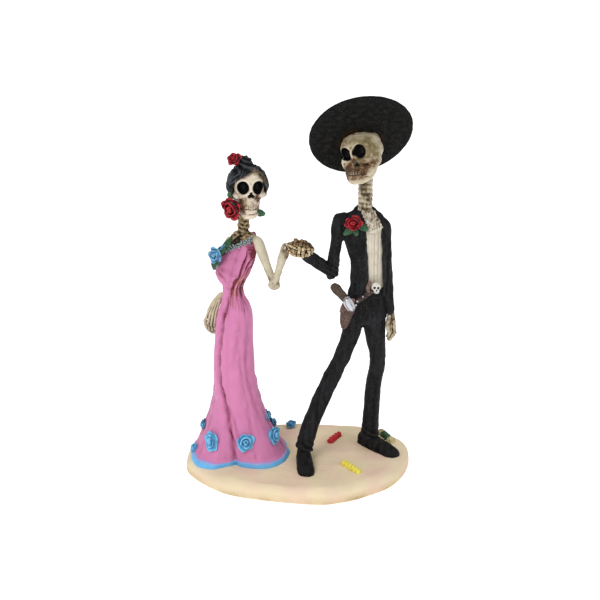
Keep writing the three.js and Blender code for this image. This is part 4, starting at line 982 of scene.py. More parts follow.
def buildHair():
    cap = ball((-0.1, 1.2, 16), (11, 12, 10.9), segments=64)
    outline = [(-5, -2), (-9.4, 9), (-9.0, 13.5), (-8.6, 17.3), (-7.1, 20.5), (-4.4, 22.3), (-1.8, 23.7), (0.6, 24.9),
               (2.5, 25.7), (3.8, 25.0), (4.9, 24.0), (6.2, 22.2), (7.3, 20.3), (7.9, 18.7), (8.3, 17.1), (8.6, 10), (5, -2)]
    near = np.array([(x, -2.6, z) for x, z in outline], float)
    rings = [near + (0, -d, 0) for d in (0, 10, 20)]
    opening = loft("opening", rings)
    nape = ball((0, -4, -2.2), (16, 20, 8.4))
    jaw = ball((0, -7, 4.6), (16, 10.5, 8.4))
    cut(cap, [opening, nape, jaw])
    bun = ball((-1.4, 4.4, 26.6), (4.3, 4.6, 3.7), segments=40)
    coil = tube([(-1.4, 4.2, 22), (-1.4, 4.2, 23.6), (-1.4, 4.3, 25)], [5.8, 5.6, 4.6], ref=(0, 1, 0))
    lock = tube([(2.4, -5.4, 26.0), (-2.2, -7.4, 24.4), (-7.6, -6.2, 21.2), (-9.6, -3.8, 17.2), (-10.0, -2.4, 13.4)],
                [0.6, 0.8, 0.9, 0.8, 0.7], steps=8)
    rightLock = tube([(2.7, -5.4, 26.0), (5.6, -6.0, 24.2), (8.2, -5.0, 20.4), (9.2, -3.8, 16.6), (9.4, -2.6, 13.4)],
                     [0.5, 0.6, 0.7, 0.6, 0.5], steps=8)
    hair = fuse("hair", [cap, bun, coil, lock, rightLock], 0.32, 3)
    points = readPoints(hair)
    x, y, z = (points - (1.2, -6.5, 24.5)).T
    sweep = np.arctan2(x, 6 - z + 0.35 * y) * 14
    bunPart = np.clip((points[:, 2] - 24.6) / 1.2, 0, 1)
    spiral = np.arctan2(points[:, 1] - 4.4, points[:, 0] + 1.4) * 3 + (points[:, 2] - 26) * 2.2
    strand = (1 - bunPart) * np.sin(sweep * 2.9 + 0.8 * ripples(points, 7, 2)) + bunPart * np.sin(spiral * 1.3)
    push(hair, hairValues["strands"] * strand + 0.1 * ripples(points, 2.2, 12))
    lockPlaces = [(2.7, -5.8, 26.0), (4.2, -6.3, 25.2), (5.6, -6.5, 24.1), (6.9, -6.2, 22.3), (8.0, -5.7, 20.4), (8.6, -5, 18.4)]
    wearAndShadeMaps(hair, ((3, 0.04), (10, 0.14)), None, lambda p, n: dabs(p, [(*spot, 1.0, 1.0) for spot in lockPlaces]))
    keepValue(hair, "ridge", np.clip(0.9 * strand + 0.2 * ripples(points, 3, 13), 0, 1))
    keepValue(hair, "hollow", np.clip(-0.9 * strand, 0, 1))
    carry(hair, herHead)
    return ready(hair, materials["hairPaint"])


hairSkin = readPoints(buildHair())
print("hair ready")


# The hat

hatValues = {"place": his(6.2, 2, 177.6), "way": (-0.18, 0.86, 0.48), "radius": 26.9}


def buildHat():
    rim = hatValues["radius"]
    profile = [(0.5, -1.0), (10, -0.9), (18, -0.85), (23.2, -0.7), (25.8, -0.35), (rim - 0.4, 0.1), (rim, 0.9),
               (rim - 0.1, 1.5), (rim - 0.7, 1.95), (25, 1.6), (22.7, 1.2), (18, 1.0), (13.6, 0.9), (12.6, 1.6),
               (12.2, 3.6), (11.5, 6.3), (10, 12), (8.2, 18.1), (6.8, 20.2), (4.6, 21), (2, 20.4), (0.5, 20.2)]
    sides = 160
    turn = np.arange(sides) * 2 * math.pi / sides
    fine = curvePoints([(r, z, 0) for r, z in profile], 4)
    rings = [np.column_stack([r * np.cos(turn), r * np.sin(turn), np.full(sides, z)]) for r, z, _ in fine]
    hat = loft("hat", rings)
    own = readPoints(hat)
    reach = np.hypot(own[:, 0], own[:, 1])
    wave = 0.5 * np.sin(2 * np.arctan2(own[:, 1], own[:, 0]) + 0.6) * np.clip((reach - 14) / 13, 0, 1) ** 2
    own[:, 2] += wave
    writePoints(hat, own)
    push(hat, 0.07 * ripples(own, 5, 61))
    carry(hat, facing(hatValues["way"], hatValues["place"]))
    around = [through(hisHead, 9.6 * math.cos(a), 2 + 11 * math.sin(a), 19.5) for a in np.linspace(0, 2 * math.pi, 40)]
    over = [through(hisHead, 8.6 * math.cos(a), -3.4, 16 + 9.4 * math.sin(a)) for a in np.linspace(0, math.pi, 30)]

    def tint(points, normals):
        return np.clip(1.6 * besides(points, [np.array(around), np.array(over)], 3.0), 0, 1)

    wearAndShadeMaps(hat, ((3, 0.08), (24, 0.5)), None, tint)
    return ready(hat, materials["hatFelt"])


hatSkin = readPoints(buildHat())
print("hat ready")


def tuckUnderHat(points):  # what would come through the brim stays inside the crown
    move = np.array(facing(hatValues["way"], hatValues["place"]))
    own = (points - move[:3, 3]) @ move[:3, :3]
    reach = np.maximum(np.hypot(own[:, 0], own[:, 1]), 0.01)
    room = 11.2 - 0.28 * np.maximum(own[:, 2], 0)
    inside = np.clip((own[:, 2] + 0.7) / 0.6, 0, 1)
    own[:, :2] *= (1 - inside * (1 - np.minimum(1, room / reach)))[:, None]
    return own @ move[:3, :3].T + move[:3, 3]


def buildSkull(name, head, values):
    rings = []
    sides = 48
    way = np.arange(sides) * 2 * math.pi / sides
    square = 1 + 0.06 * np.sin(2 * way) ** 2
    table = values["stations"]
    for height in np.linspace(table[0][0], table[-1][0], 48):
        wide, front, rear = smoothRows(table, height)
        middle, deep = (front + rear) / 2, (rear - front) / 2
        rings.append(np.column_stack([wide * square * np.cos(way), middle + deep * square * np.sin(way),
                                      np.full(sides, height)]))
    parts = [loft("skin", rings)]
    parts += [ball(form[:3], form[3:]) for form in values["balls"]]
    parts += [tube(path, sizes, ref=(0, 0.3, 1)) for path, sizes in values["bars"]]
    skull = fuse(name, parts, 0.34, 7)
    nx, nz, size = values["nose"]
    tools = [ball((x, -9.4, z), (wide, 5.4, tall)) for x, z, wide, tall in values["eyes"]]
    for side in (-1, 1):
        tools.append(tube([(nx + side * 0.62 * size, -12.5, nz - 0.6 * size), (nx + side * 0.3, -8.4, nz - 0.2)],
                          [0.72 * size, 0.5 * size]))
    tools.append(tube([(nx, -12.5, nz + 0.5 * size), (nx, -8.4, nz + 0.3)], [(0.55 * size, 1.0 * size), (0.4, 0.6)],
                      ref=(0, 0, 1)))
    cut(skull, tools)
    useModifier(skull, "REMESH", mode="VOXEL", voxel_size=0.265 * mm)
    useModifier(skull, "SMOOTH", factor=0.5, iterations=3)
    points = readPoints(skull)
    x, y, z = points.T
    tx, low, high, half, pitch = values["teeth"]
    front = np.clip((-6.4 - y) / 1.2, 0, 1)
    middle = (low + high) / 2

    def inRow(a, b):
        rows = np.clip((z - a) / 0.4, 0, 1) * np.clip((b - z) / 0.4, 0, 1)
        return front * rows * np.clip((half - abs(x - tx)) / 0.6, 0, 1)

    gaps = np.exp(-(((x - tx + pitch / 2) % pitch - pitch / 2) / 0.18) ** 2)
    seam = np.exp(-((z - low + 0.2 * np.sin(x * 1.1)) / 0.26) ** 2) * front * np.clip((half + 0.8 - abs(x - tx)) / 0.8, 0, 1)
    chin = np.exp(-((z - values["jawLine"]) / 0.4) ** 2) * front * 0.12
    teeth = inRow(low, high) * (0.22 - 0.4 * gaps) + inRow(low - 1.3, low) * (0.12 - 0.3 * gaps) * values["lowerTeeth"]
    teeth -= 0.5 * seam + chin * values["lowerTeeth"]
    rim = np.zeros(len(points))
    for ex, ez, wide, tall in values["eyes"]:
        off = np.hypot((x - ex) / wide, (z - ez) / tall)
        rim += 0.22 * np.exp(-((off - 1.22) / 0.12) ** 2) * np.clip((-6.2 - y) / 1, 0, 1)
    off = np.hypot((x - nx) / (1.5 * size), (z - nz) / (1.7 * size))
    rim += values["noseRim"] * np.exp(-((off - 1.15) / 0.16) ** 2) * front
    push(skull, teeth + rim + 0.06 * ripples(points, 3, 5) + 0.04 * ripples(points, 1.2, 6))

    def stain_and_shade(points, normals):
        x, y, z = points.T
        front = np.clip((-5.5 - y) / 1.5, 0, 1)
        row = front * np.clip((high + 0.3 - z) / 0.4, 0, 1) * np.clip((z - low + 1.4) / 0.4, 0, 1)
        row = row * np.clip((half + 0.4 - abs(x - tx)) / 0.8, 0, 1)
        row = row * np.where(z < low, values["lowerTeeth"], 1)
        lines = row * 0.75 * np.exp(-(((x - tx + pitch / 2) % pitch - pitch / 2) / 0.22) ** 2)
        lines = np.maximum(lines, front * 0.8 * np.exp(-((z - low) / 0.3) ** 2) * np.clip((half + 1 - abs(x - tx)), 0, 1))
        lines = np.maximum(lines, front * values["lowerTeeth"] * np.exp(-((z - values["jawLine"]) / 0.5) ** 2) * (abs(x - tx) < 3.4))
        brushed = sum(s * np.exp(-((x - a) ** 2 + (z - b) ** 2) / r**2) for a, b, r, s in values["washes"])
        brushed = brushed * np.clip((-2.5 - y) / 2, 0, 1) + dabs(points, values["stains"], 2.2)
        teeth = row * np.clip(1 - lines, 0, 1)
        return np.clip(lines * 1.3 + brushed * (1 - 0.6 * teeth), 0, 2.2)

    wearAndShadeMaps(skull, ((4, 0.07), (30, 0.5)), stain_and_shade, lambda points, normals: dabs(points, values["tints"]))
    x, y, z = readPoints(skull).T
    socket = np.zeros(len(x))
    for ex, ez, wide, tall in values["eyes"]:
        deep = 1.04 - np.hypot((x - ex) / wide, (z - ez) / tall)
        socket = np.maximum(socket, np.clip(deep * 14, 0, 1) * (y < -2))
    for dx, dz, wide, tall in ((-0.6, -0.55, 0.75, 0.75), (0.6, -0.55, 0.75, 0.75), (0, 0.45, 0.6, 1.1)):
        deep = 1.05 - np.hypot((x - nx - dx * size) / (wide * size), (z - nz - dz * size) / (tall * size))
        socket = np.maximum(socket, np.clip(deep * 8, 0, 1) * (y < -4))
    keepValue(skull, "socket", socket)
    carry(skull, head)
    if values is hisSkullValues:
        writePoints(skull, tuckUnderHat(readPoints(skull)))
    # painted shade on the bone where the hair or the hat covers it
    shadeUnderCover = besides(readPoints(skull), [values["cover"]()], values["coverReach"])
    keepValue(skull, "stain_and_shade", np.maximum(valueOf(skull, "stain_and_shade"), 1.5 * shadeUnderCover))
    return skull


def socketMaterial(name, look, dark):
    material = makeMaterial(name, look)
    tree = material.node_tree
    shader = tree.nodes["Principled BSDF"]
    colour = shader.inputs["Base Color"].links[0].from_socket
    tree.links.new(mixColour(tree, readValue(tree, "socket"), colour, dark), shader.inputs["Base Color"])
    return material


herSkullLook = {**boneLook, "paint": paint(216, 203, 184), "wash_and_shade": paint(104, 62, 28), "hollow": 1.2, "mottle": 0.5,
                "shine": 0.2}
hisSkullLook = {**boneLook, "paint": paint(200, 189, 164), "light": paint(226, 216, 198), "hollow": 1.3, "mottle": 0.9,
                "tint": paint(126, 112, 76), "shine": 0.15}
for skullName, skullHead, skullValues, skullLook in (("herSkull", herHead, herSkullValues, herSkullLook),
                                                     ("hisSkull", hisHead, hisSkullValues, hisSkullLook)):
    skullBone = socketMaterial(skullName + "Bone", skullLook, paint(10, 7, 8))
    ready(buildSkull(skullName, skullHead, skullValues), skullBone)
    print(skullName, "ready")


# Necks, her chest and her arms

def neckParts(low, high, radius, count, deep):
    low, high = np.array(low, float), np.array(high, float)
    parts = [tube([low, high], [radius * (1 - deep)] * 2)]
    for i in range(count):
        centre = low + (high - low) * (i + 0.5) / count
        parts.append(ball(centre, (radius, radius * 0.95, (high - low)[2] / count * 0.48), segments=24))
    return parts


def buildHerChest():
    sides = 96
    turn = np.arange(sides) * 2 * math.pi / sides
    rings = [gownPoints(height, turn, -0.75)[0] for height in np.linspace(102, 124.6, 24)]
    parts = [loft("chest", rings)]
    parts += neckParts(her(3.2, 0.8, 119), her(4.8, 1.6, 146), 3.3, 7, 0.12)
    parts.append(tube([her(-7, -1.5, 114), her(-3.4, -1.2, 119.4), her(0.6, -0.4, 124)], [(2.2, 1.6), (2.4, 1.8), (2.2, 2.0)]))
    chest = fuse("herChest", parts, 0.34, 2)
    own = readPoints(chest)
    neck = np.clip((own[:, 2] - 131) / 3, 0, 1)
    slope = own[:, 2] - 0.75 * own[:, 0]
    ribs = 0.2 * np.sin(slope * 1.9 + ripples(own, 5, 16)) * (1 - neck)
    push(chest, ribs + 0.16 * ripples(own, 2.6, 17) + neck * 0.14 * np.sin(own[:, 2] * 2.6 + own[:, 0]))

    def stain_and_shade(points, normals):
        edge = np.clip((points[:, 0] + 25.6) * 0.8, 0, 1) * np.clip((points[:, 2] - 133) / 3, 0, 1)
        left = np.clip((-28 - points[:, 0]) / 3, 0, 1) * np.clip((134 - points[:, 2]) / 3, 0, 1)
        return np.clip(0.5 + 0.3 * ripples(points, 4, 18) - 0.5 * edge + 1.5 * left, 0.05, 1.9)

    def tint(points, normals):
        return dabs(points, [(-33.4, 0.0, 130.4, 1.7, 1.6)])

    wearAndShadeMaps(chest, ((4, 0.06), (30, 0.4)), stain_and_shade, tint)
    return ready(chest, materials["darkBone"])


def fingerBones(root, tip, radius, ref=(0, 1, 0), bend=(0, 0, 0)):
    root, tip = np.array(root, float), np.array(tip, float)
    middle = (root + tip) / 2 + np.array(bend)
    path = [root, root * 0.6 + middle * 0.4, middle, middle * 0.45 + tip * 0.55, tip]
    return tube(path, [radius, radius * 0.78, radius * 1.0, radius * 0.72, radius * 0.8], sides=12, ref=ref)


def buildHerArms():
    upper = [(herShoulder + (herElbow - herShoulder) * s) for s in (0, 0.22, 0.45, 0.66, 0.84)]
    fore = [(herElbow + (herWrist - herElbow) * s) for s in (0.0, 0.2, 0.45, 0.7, 0.92)]
    parts = [
        tube([her(9.8, -3.4, 122.8), *upper, herElbow], [1.9, 2.6, 2.75, 2.35, 2.05, 1.9, 2.5], steps=6),
        tube([*fore, (-7.1, -3.4, 126), (-7.1, -3.6, 128)], [2.5, 1.95, 1.9, 2.1, 2.5, 2.6, 2.1], steps=6),
        ball(herElbow + (0.1, 0, 0.2), (3.3, 2.6, 2.6)),
        tube([her(0.5, 4, 118.6), her(-3.6, 7.4, 117), her(-2.6, 13, 106), her(-1, 17, 97)], [2.2, 2.6, 1.8, 2.4],
             ref=(1, 0, 0)),
        tube([her(-1, 17, 97), her(-2.8, 14, 93), her(-6.4, 10, 87.6)], [2.4, 1.7, 1.8], ref=(1, 0, 0)),
    ]
    arms = fuse("herArms", parts, 0.3, 4)
    own = readPoints(arms)
    push(arms, 0.08 * ripples(own * (1, 1, 0.5), 4, 9) + 0.04 * ripples(own, 1.5, 10))

    def stain_and_shade(points, normals):
        total = dabs(points, [(-5.8, -4.8, 125.2, 2.2, 1.4), (-6.6, -5.4, 128.2, 1.7, 1.2), (-9.6, -2.2, 108.6, 1.5, 0.9), (-14.6, -0.4, 110.8, 1.3, 0.9),
                              (-34.5, 13, 125, 3, 0.4), (*her(-6.4, 10, 87.6), 3, 0.5), (-12.6, -2, 106.4, 2.0, 0.35),
                              (-17.0, 1.0, 116, 2.0, 0.25), (-15.2, -2, 111.6, 2.2, 0.6), (-16.4, -2, 114.2, 2, 0.4),
                              (-9.4, -2, 114, 1.6, 0.3), (-13.6, -2.4, 104, 1.4, 0.8)])
        # painted shade: the undersides and the sides facing +x are darker, and so is the bone next to the gown
        paintedUnderShade = np.clip(-normals[:, 2] * 0.5 + normals[:, 0] * 0.25 - 0.1, 0, 1) * 0.5
        return np.clip(total + paintedUnderShade + 0.7 * besides(points, [gownFront], 1.6), 0, 1)

    wearAndShadeMaps(arms, ((4, 0.06), (40, 0.5)), stain_and_shade)
    return ready(arms, materials["boneResin"])


# each finger: where it leaves the wrist, its knuckle and its tip
hipFingers = [((-44.0, 12.6, 91.9), (-49.3, 11.4, 82.0), (-47.2, 9.6, 77.2)),
              ((-43.2, 12.2, 92.6), (-47.8, 10.6, 80.7), (-45.7, 9.0, 76.3)),
              ((-42.3, 11.8, 93.2), (-46.1, 10.2, 80.0), (-44.2, 8.9, 76.1)),
              ((-41.4, 11.6, 93.5), (-44.4, 10.2, 79.6), (-43.0, 9.2, 77.0))]


def buildHipHand():
    parts = [tube([(-40.6, 13.6, 95.4), (-43.4, 12.6, 91.4), (-45.4, 11.6, 87)], [(1.9, 1.8), (2.5, 1.8), (3.0, 1.5)],
                  ref=(0.4, 0.9, 0))]
    for root, knuckle, tip in hipFingers:
        parts.append(fingerBones(root, knuckle, 1.0, bend=(-0.5, -0.7, 0.4)))
        parts.append(fingerBones(knuckle, tip, 1.05, bend=(-0.3, -0.3, -0.4)))
    hand = fuse("hipHand", parts, 0.22, 1)
    wearAndShadeMaps(hand, ((3, 0.03), (12, 0.12)), lambda p, n: np.clip((86 - p[:, 2]) / 16 + 0.1, 0.1, 0.8))
    return ready(hand, materials["handBone"])


def buildJoinedHands():
    def near(x, y, z):
        return clasp + (x, y, z)

    parts = [
        tube([near(-7.0, 0.5, 0.0), near(-3.2, 0.3, 0.7), near(0.6, 0.3, 0.5), near(4.2, 0.5, -0.1), near(6.0, 0.8, -1.2)],
             [(2.0, 1.9), (2.9, 2.2), (3.4, 2.4), (3.0, 2.4), (2.1, 2.0)]),
        ball(near(-7.0, 0.1, 0.9), (1.9, 2.0, 1.7)), ball(near(-1.6, -0.2, 4.2), (1.25, 1.2, 1.3)),
        ball(near(0.9, -0.4, 3.9), (1.0, 1.0, 0.9)),
        tube([near(-5.4, -0.8, -1.0), near(-2.6, -1.6, -2.9), near(1.0, -1.6, -3.3), near(4.4, -1.0, -3.2)], [1.0, 1.15, 1.2, 1.2]),
    ]
    for n in range(4):  # her fingers slant across the back of the clasp
        parts.append(fingerBones(near(-6.2 + 0.5 * n, -1.2, 2.5 - 1.15 * n), near(0.2 - 0.2 * n, -2.5, -0.5 - 1.0 * n), 0.82))
    for knuckles in (((1.5, -1.0, 4.2), (0.2, -3.3, 1.3), (-0.2, -3.1, -3.0)), ((3.1, -1.0, 3.8), (2.1, -3.4, 0.7), (1.9, -2.8, -3.7)),
                     ((3.9, -1.2, 3.3), (5.0, -2.9, 0.6), (5.3, -2.2, -2.7)), ((5.3, -0.8, 2.4), (6.7, -1.9, 0.1), (6.7, -1.2, -2.2))):
        root, middle, tip = (near(*place) for place in knuckles)
        parts.append(fingerBones(root, middle, 0.98, ref=(1, 0, 0.2)))
        parts.append(fingerBones(middle, tip, 0.9, ref=(1, 0, 0.2)))
    hands = fuse("joinedHands", parts, 0.22, 1)
    own = readPoints(hands)
    push(hands, 0.08 * ripples(own, 1.6, 19))

    def stain_and_shade(points, normals):
        x, y, z = (points - clasp).T
        upper = np.clip((z - 2.2 + 0.28 * x) / 1.6, 0, 1)
        lower = np.clip((-1.6 - z) / 1.2, 0, 1) * np.clip((-0.5 - x) / 1.5, 0, 1)
        spots = dabs(points - clasp, [(-7.6, -2, 1.2, 1.9, 1.3), (8, -1, 0, 1.9, 1.3), (3.2, -3, -0.8, 1.1, 0.7),
                                      (7.2, -1.5, 2.2, 1.9, 1.2), (7.6, -1, -2, 1.6, 0.9), (5.4, -1, 4, 1.7, 1.0)], 1.5)
        return np.clip(0.55 + 0.45 * ripples(points, 3, 20) + 0.9 * upper - 0.5 * lower + spots, 0, 1.8)

    wearAndShadeMaps(hands, ((3, 0.03), (12, 0.14)), stain_and_shade)
    x, y, z = (readPoints(hands) - clasp).T
    keepValue(hands, "ridge", valueOf(hands, "ridge") * (1 - 0.8 * np.clip((z - 2.2 + 0.4 * x) / 1.2, 0, 1)))
    return ready(hands, materials["claspBone"])


buildHerChest()
buildHerArms()
buildHipHand()
buildJoinedHands()
print("her bones ready")


def buildNeckline():
    rng = np.random.default_rng(12)
    ways = [-178, -160, -142, -128, -112, -98, -86, -78, -70]
    path = []
    for way in ways:
        height = smoothRows(necklineHeights, way)[0]
        path.append(gownAt(height + 0.2, way, 0.1))
    fine = curvePoints(path, 12)
    parts = [tube(fine, [0.7] * len(fine), steps=1, sides=10)]
    for i, place in enumerate(fine[::2]):
        for _ in range(5):
            size = rng.uniform(0.3, 0.6)
            shift = rng.normal(size=3) * (0.4, 0.2, 0.75)
            parts.append(ball(place + shift + (-0.2, -0.5, 0.5), (size, size, size), segments=12))
    lace = fuse("necklineLace", parts, 0.17, 1)
    wearAndShadeMaps(lace, ((2, 0.02), (8, 0.1)), lambda p, n: np.clip(0.3 + 0.9 * ripples(p, 1.6, 23), 0, 1.4))
    return ready(lace, materials["laceTrim"])


buildNeckline()


def buildLeaves():
    leaves = []
    for low, high, width in ((her(-7.6, -4.0, 117.0), her(-3.0, -3.4, 121.2), 2.2), (her(-6.4, -4.4, 119.2), her(-2.2, -2.6, 122.6), 1.9),
                             (her(-9.2, -4.4, 116.2), her(-6.0, -4.6, 119.6), 2.0)):
        leaves.append(makeLeaf(low, high, (-0.2, -1, 0.6), width))
    for low, high, width in (((-37.6, -0.6, 126.4), (-35.0, -0.8, 129.6), 1.6),
                             ((-39.4, -0.8, 124.6), (-37.2, -1.6, 127.6), 1.6),
                             ((-35.6, -0.8, 129.0), (-34.4, 0.2, 131.6), 1.3)):
        leaves.append(makeLeaf(low, high, (-0.5, -1, 0.5), width))
    leaves.append(makeLeaf(her(-11.2, -5.4, 112.4), her(-11.2, -6.0, 107.0), (-0.3, -1, 0), 2.8))
    leaves.append(makeLeaf(her(-9.8, -5.8, 112.6), her(-8.8, -6.4, 109.6), (-0.2, -1, 0), 2.0))

    def inHead(x, y, z):
        return through(herHead, x, y, z)

    leaves.append(makeLeaf(inHead(-9.8, -4.8, 10.6), inHead(-9.9, -6.2, 14.6), (-0.7, -0.7, 0), 2.8))
    leaves.append(makeLeaf(inHead(3.4, -6.6, 3.4), inHead(7.6, -7.2, 2.2), (0.1, -1, 0.3), 3.4))
    lapel = his(2.4, -6.2, 133)
    leaves.append(makeLeaf(lapel + (-0.6, 0.6, -2.4), lapel + (-4.8, -0.2, -5.6), (-0.1, -1, 0.2), 3.0))
    leaves.append(makeLeaf(lapel + (2.4, 0.6, -0.2), lapel + (7.0, -0.6, -3.2), (0.1, -1, 0.3), 3.4))
    leaves.append(makeLeaf(lapel + (0.6, 0.6, -2.8), lapel + (1.6, -0.4, -6.0), (0, -1, 0.2), 2.6))
    whole = join("leaves", leaves)
    wearAndShadeMaps(whole, ((2, 0.06), (6, 0.15)), lambda p, n: np.clip(0.2 + 0.5 * ripples(p, 1.8, 24), 0, 1))
    return ready(whole, materials["leafPaint"])


def buildRedRoses():
    def inHead(x, y, z):
        return through(herHead, x, y, z)

    blooms = [
        placeRose(fullRose, inHead(-8.9, -6.2, 6.2), herHead.to_3x3() @ Vector((-0.5, -0.84, 0.05)), 5.1, spin=66,
                  stretch=1.2),
        placeRose(flatRose, inHead(-6.8, 1.0, 30.0), herHead.to_3x3() @ Vector((-0.35, -0.7, 0.5)), 3.9, spin=15,
                  stretch=0.9),
        placeRose(flatRose, his(2.4, -5.8, 133.6), (-0.1, -1, 0.25), 5.3, spin=60, stretch=0.72),
    ]
    stems = [tube([inHead(-7.0, 1.4, 28.0), inHead(-4.0, 3.0, 26.4)], [1.2, 1.2], sides=8)]
    roses = join("redRoses", blooms + stems)
    wearAndShadeRoses(roses)
    return ready(roses, materials["redPetal"])


buildLeaves()
buildRedRoses()
for model in (fullRose, flatRose):
    bpy.data.objects.remove(model)
print("flowers ready")


# His suit

suitStations = [(76.5, 8, 0.4, 11, 5.8), (80, 8.3, 0.2, 12, 6.8), (90, 9.5, -0.2, 10.6, 6.1), (98, 10.3, 0, 9.5, 5.6),
                (110, 10.8, 0.4, 9.6, 6.8), (120, 9.6, 0.5, 11.2, 7.2), (130.5, 7, 0.5, 12.8, 6),
                (134.5, 7.3, 0.6, 10.6, 5.1), (138.6, 8.4, 0.8, 5.2, 4)]
shirtOutline = [(9.8, 96), (9.5, 106), (9.2, 122), (8.8, 131), (7.6, 137), (6.4, 142), (12.0, 142), (15.4, 137), (16.6, 127),
                (17.8, 112), (18.3, 102), (18.4, 96.6)]


def suitRings(swell, low, high, rows, sides=72):
    way = np.arange(sides) * 2 * math.pi / sides
    rings = []
    for height in np.linspace(low, high, rows):
        x, y, wide, deep = smoothRows(suitStations, height)
        rings.append(np.column_stack([x + (wide + swell) * np.cos(way), y + (deep + swell) * np.sin(way),
                                      np.full(sides, height)]) + hisStand)
    return rings


hisShoulder = his(-4.4, 0, 132.5)
hisElbow = np.array([17.3, 2.6, 113.4])


def dryStrokesAndSheen(points, normals):  # long dry strokes of a paler black down the cloth, partly a painted sheen
    strokes = ripples(points * (1, 1, 0.12), 2.2, 77) + 0.6 * ripples(points, 14, 78)
    return np.clip(0.4 * strokes + 0.05, 0, 0.7)


def buildJacket():
    body = loft("body", suitRings(0, 76.5, 138.6, 60))
    near = np.array([(x, -2.0, z) for x, z in shirtOutline])
    opening = loft("opening", [near + hisStand + (0, -d, 0) for d in (0, 10, 20)])
    cut(body, [opening])
    cuff = hisElbow + (clasp - hisElbow) * 0.66 + (-0.2, 0, -0.5)
    sleeveEnd = hisElbow + (clasp - hisElbow) * 0.75
    parts = [body]
    parts.append(tube([his(0, 0.4, 131.5), hisShoulder, hisShoulder * 0.5 + hisElbow * 0.5, hisElbow,
                       hisElbow + (hisElbow - hisShoulder) * 0.08], [3.8, 3.9, 3.1, 3.4, 2.4], steps=8))
    parts.append(tube([cuff + (hisElbow - cuff) * 1.06, cuff, sleeveEnd], [3.1, 3.4, 3.6], steps=8, ends=(True, False)))
    far = [(13, 0.6, 131), (17.6, 0.8, 129.5), (19, 1.4, 119), (19.8, 1.6, 105), (20.6, 1, 92), (21.4, 0.6, 81.6)]
    parts.append(tube([his(*p) for p in far], [3.6, 3.9, 3.4, 3.2, 3.0, 3.4], steps=8, ends=(True, False)))
    parts.append(makeLeaf(his(4.0, -2.6, 136.4), his(8.6, -6.4, 119), (-0.2, -1, 0.2), 5.6, curl=0.02))
    parts.append(tube([his(3.9, -2.6, 136.0), his(3.8, 0.8, 138.0), his(5.4, 4.2, 138.2), his(10.6, 4.4, 138.0),
                       his(13.2, 1.6, 137.2), his(14.2, -1.6, 135.6)], [1.1, 1.4, 1.5, 1.5, 1.4, 1.1], ref=(0, 0, 1)))
    for places in (((9.2, -5.4, 92), (9.2, -6.3, 106), (8.8, -6.3, 121)), ((18.7, -3.6, 93), (18.7, -4.2, 104), (17.6, -5.0, 122))):
        parts.append(tube([his(*p) for p in places], [0.9, 0.9, 0.8]))
    jacket = fuse("jacket", parts, 0.42, 3)
    own = readPoints(jacket)
    folds = ripples(own * (1.0, 1.0, 0.22), 4.0, 21) * 0.22 + ripples(own, 6, 22) * 0.16
    elbowRings = np.exp(-((own - hisElbow) ** 2).sum(1) / 36) * np.sin(own[:, 2] * 2.2 + own[:, 0] * 1.6) * 0.3
    push(jacket, folds + elbowRings)
    wearAndShadeMaps(jacket, ((4, 0.08), (36, 0.5)), None, dryStrokesAndSheen)
    return ready(jacket, materials["blackCloth"])


legPaths = {
    "front": ([(2.7, 0.2, 80), (1.9, -1, 71), (-2.6, -3, 58.5), (-11, -5.4, 41), (-18, -6.8, 24), (-21.6, -7.4, 12),
               (-22.9, -7.6, 6.4)], [6.2, 4.9, 4.3, 4.6, 4.5, 4.6, 4.8]),
    "rear": ([(13.4, 0.6, 80), (14.8, 2, 67), (16.2, 3.8, 53), (14.3, 6, 38), (13.4, 8.2, 20), (13, 9.4, 10),
              (12.8, 9.6, 5.4)], [6.6, 5.2, 4.3, 4.2, 4.4, 4.7, 4.9]),
}


def buildTrousers():
    parts = [tube([his(*p) for p in path], sizes, steps=7, sides=24, ends=(True, False))
             for path, sizes in legPaths.values()]
    parts.append(loft("hips", suitRings(-0.6, 76.5, 92, 14)))
    trousers = fuse("trousers", parts, 0.45, 3)
    own = readPoints(trousers)
    folds = ripples(own * (1.1, 1.1, 0.16), 4.2, 31) * 0.16 + ripples(own, 5, 32) * 0.1
    low = np.clip((24 - own[:, 2]) / 8, 0, 1)
    knee = np.exp(-((own[:, 2] - 62) / 7) ** 2)
    folds += (low * 0.3 + knee * 0.06) * np.sin(own[:, 2] * 1.5 + own[:, 0] * 0.8 + 1.5 * ripples(own, 9, 33))
    push(trousers, folds)
    wearAndShadeMaps(trousers, ((4, 0.08), (36, 0.5)), None, dryStrokesAndSheen)
    return ready(trousers, materials["blackCloth"])


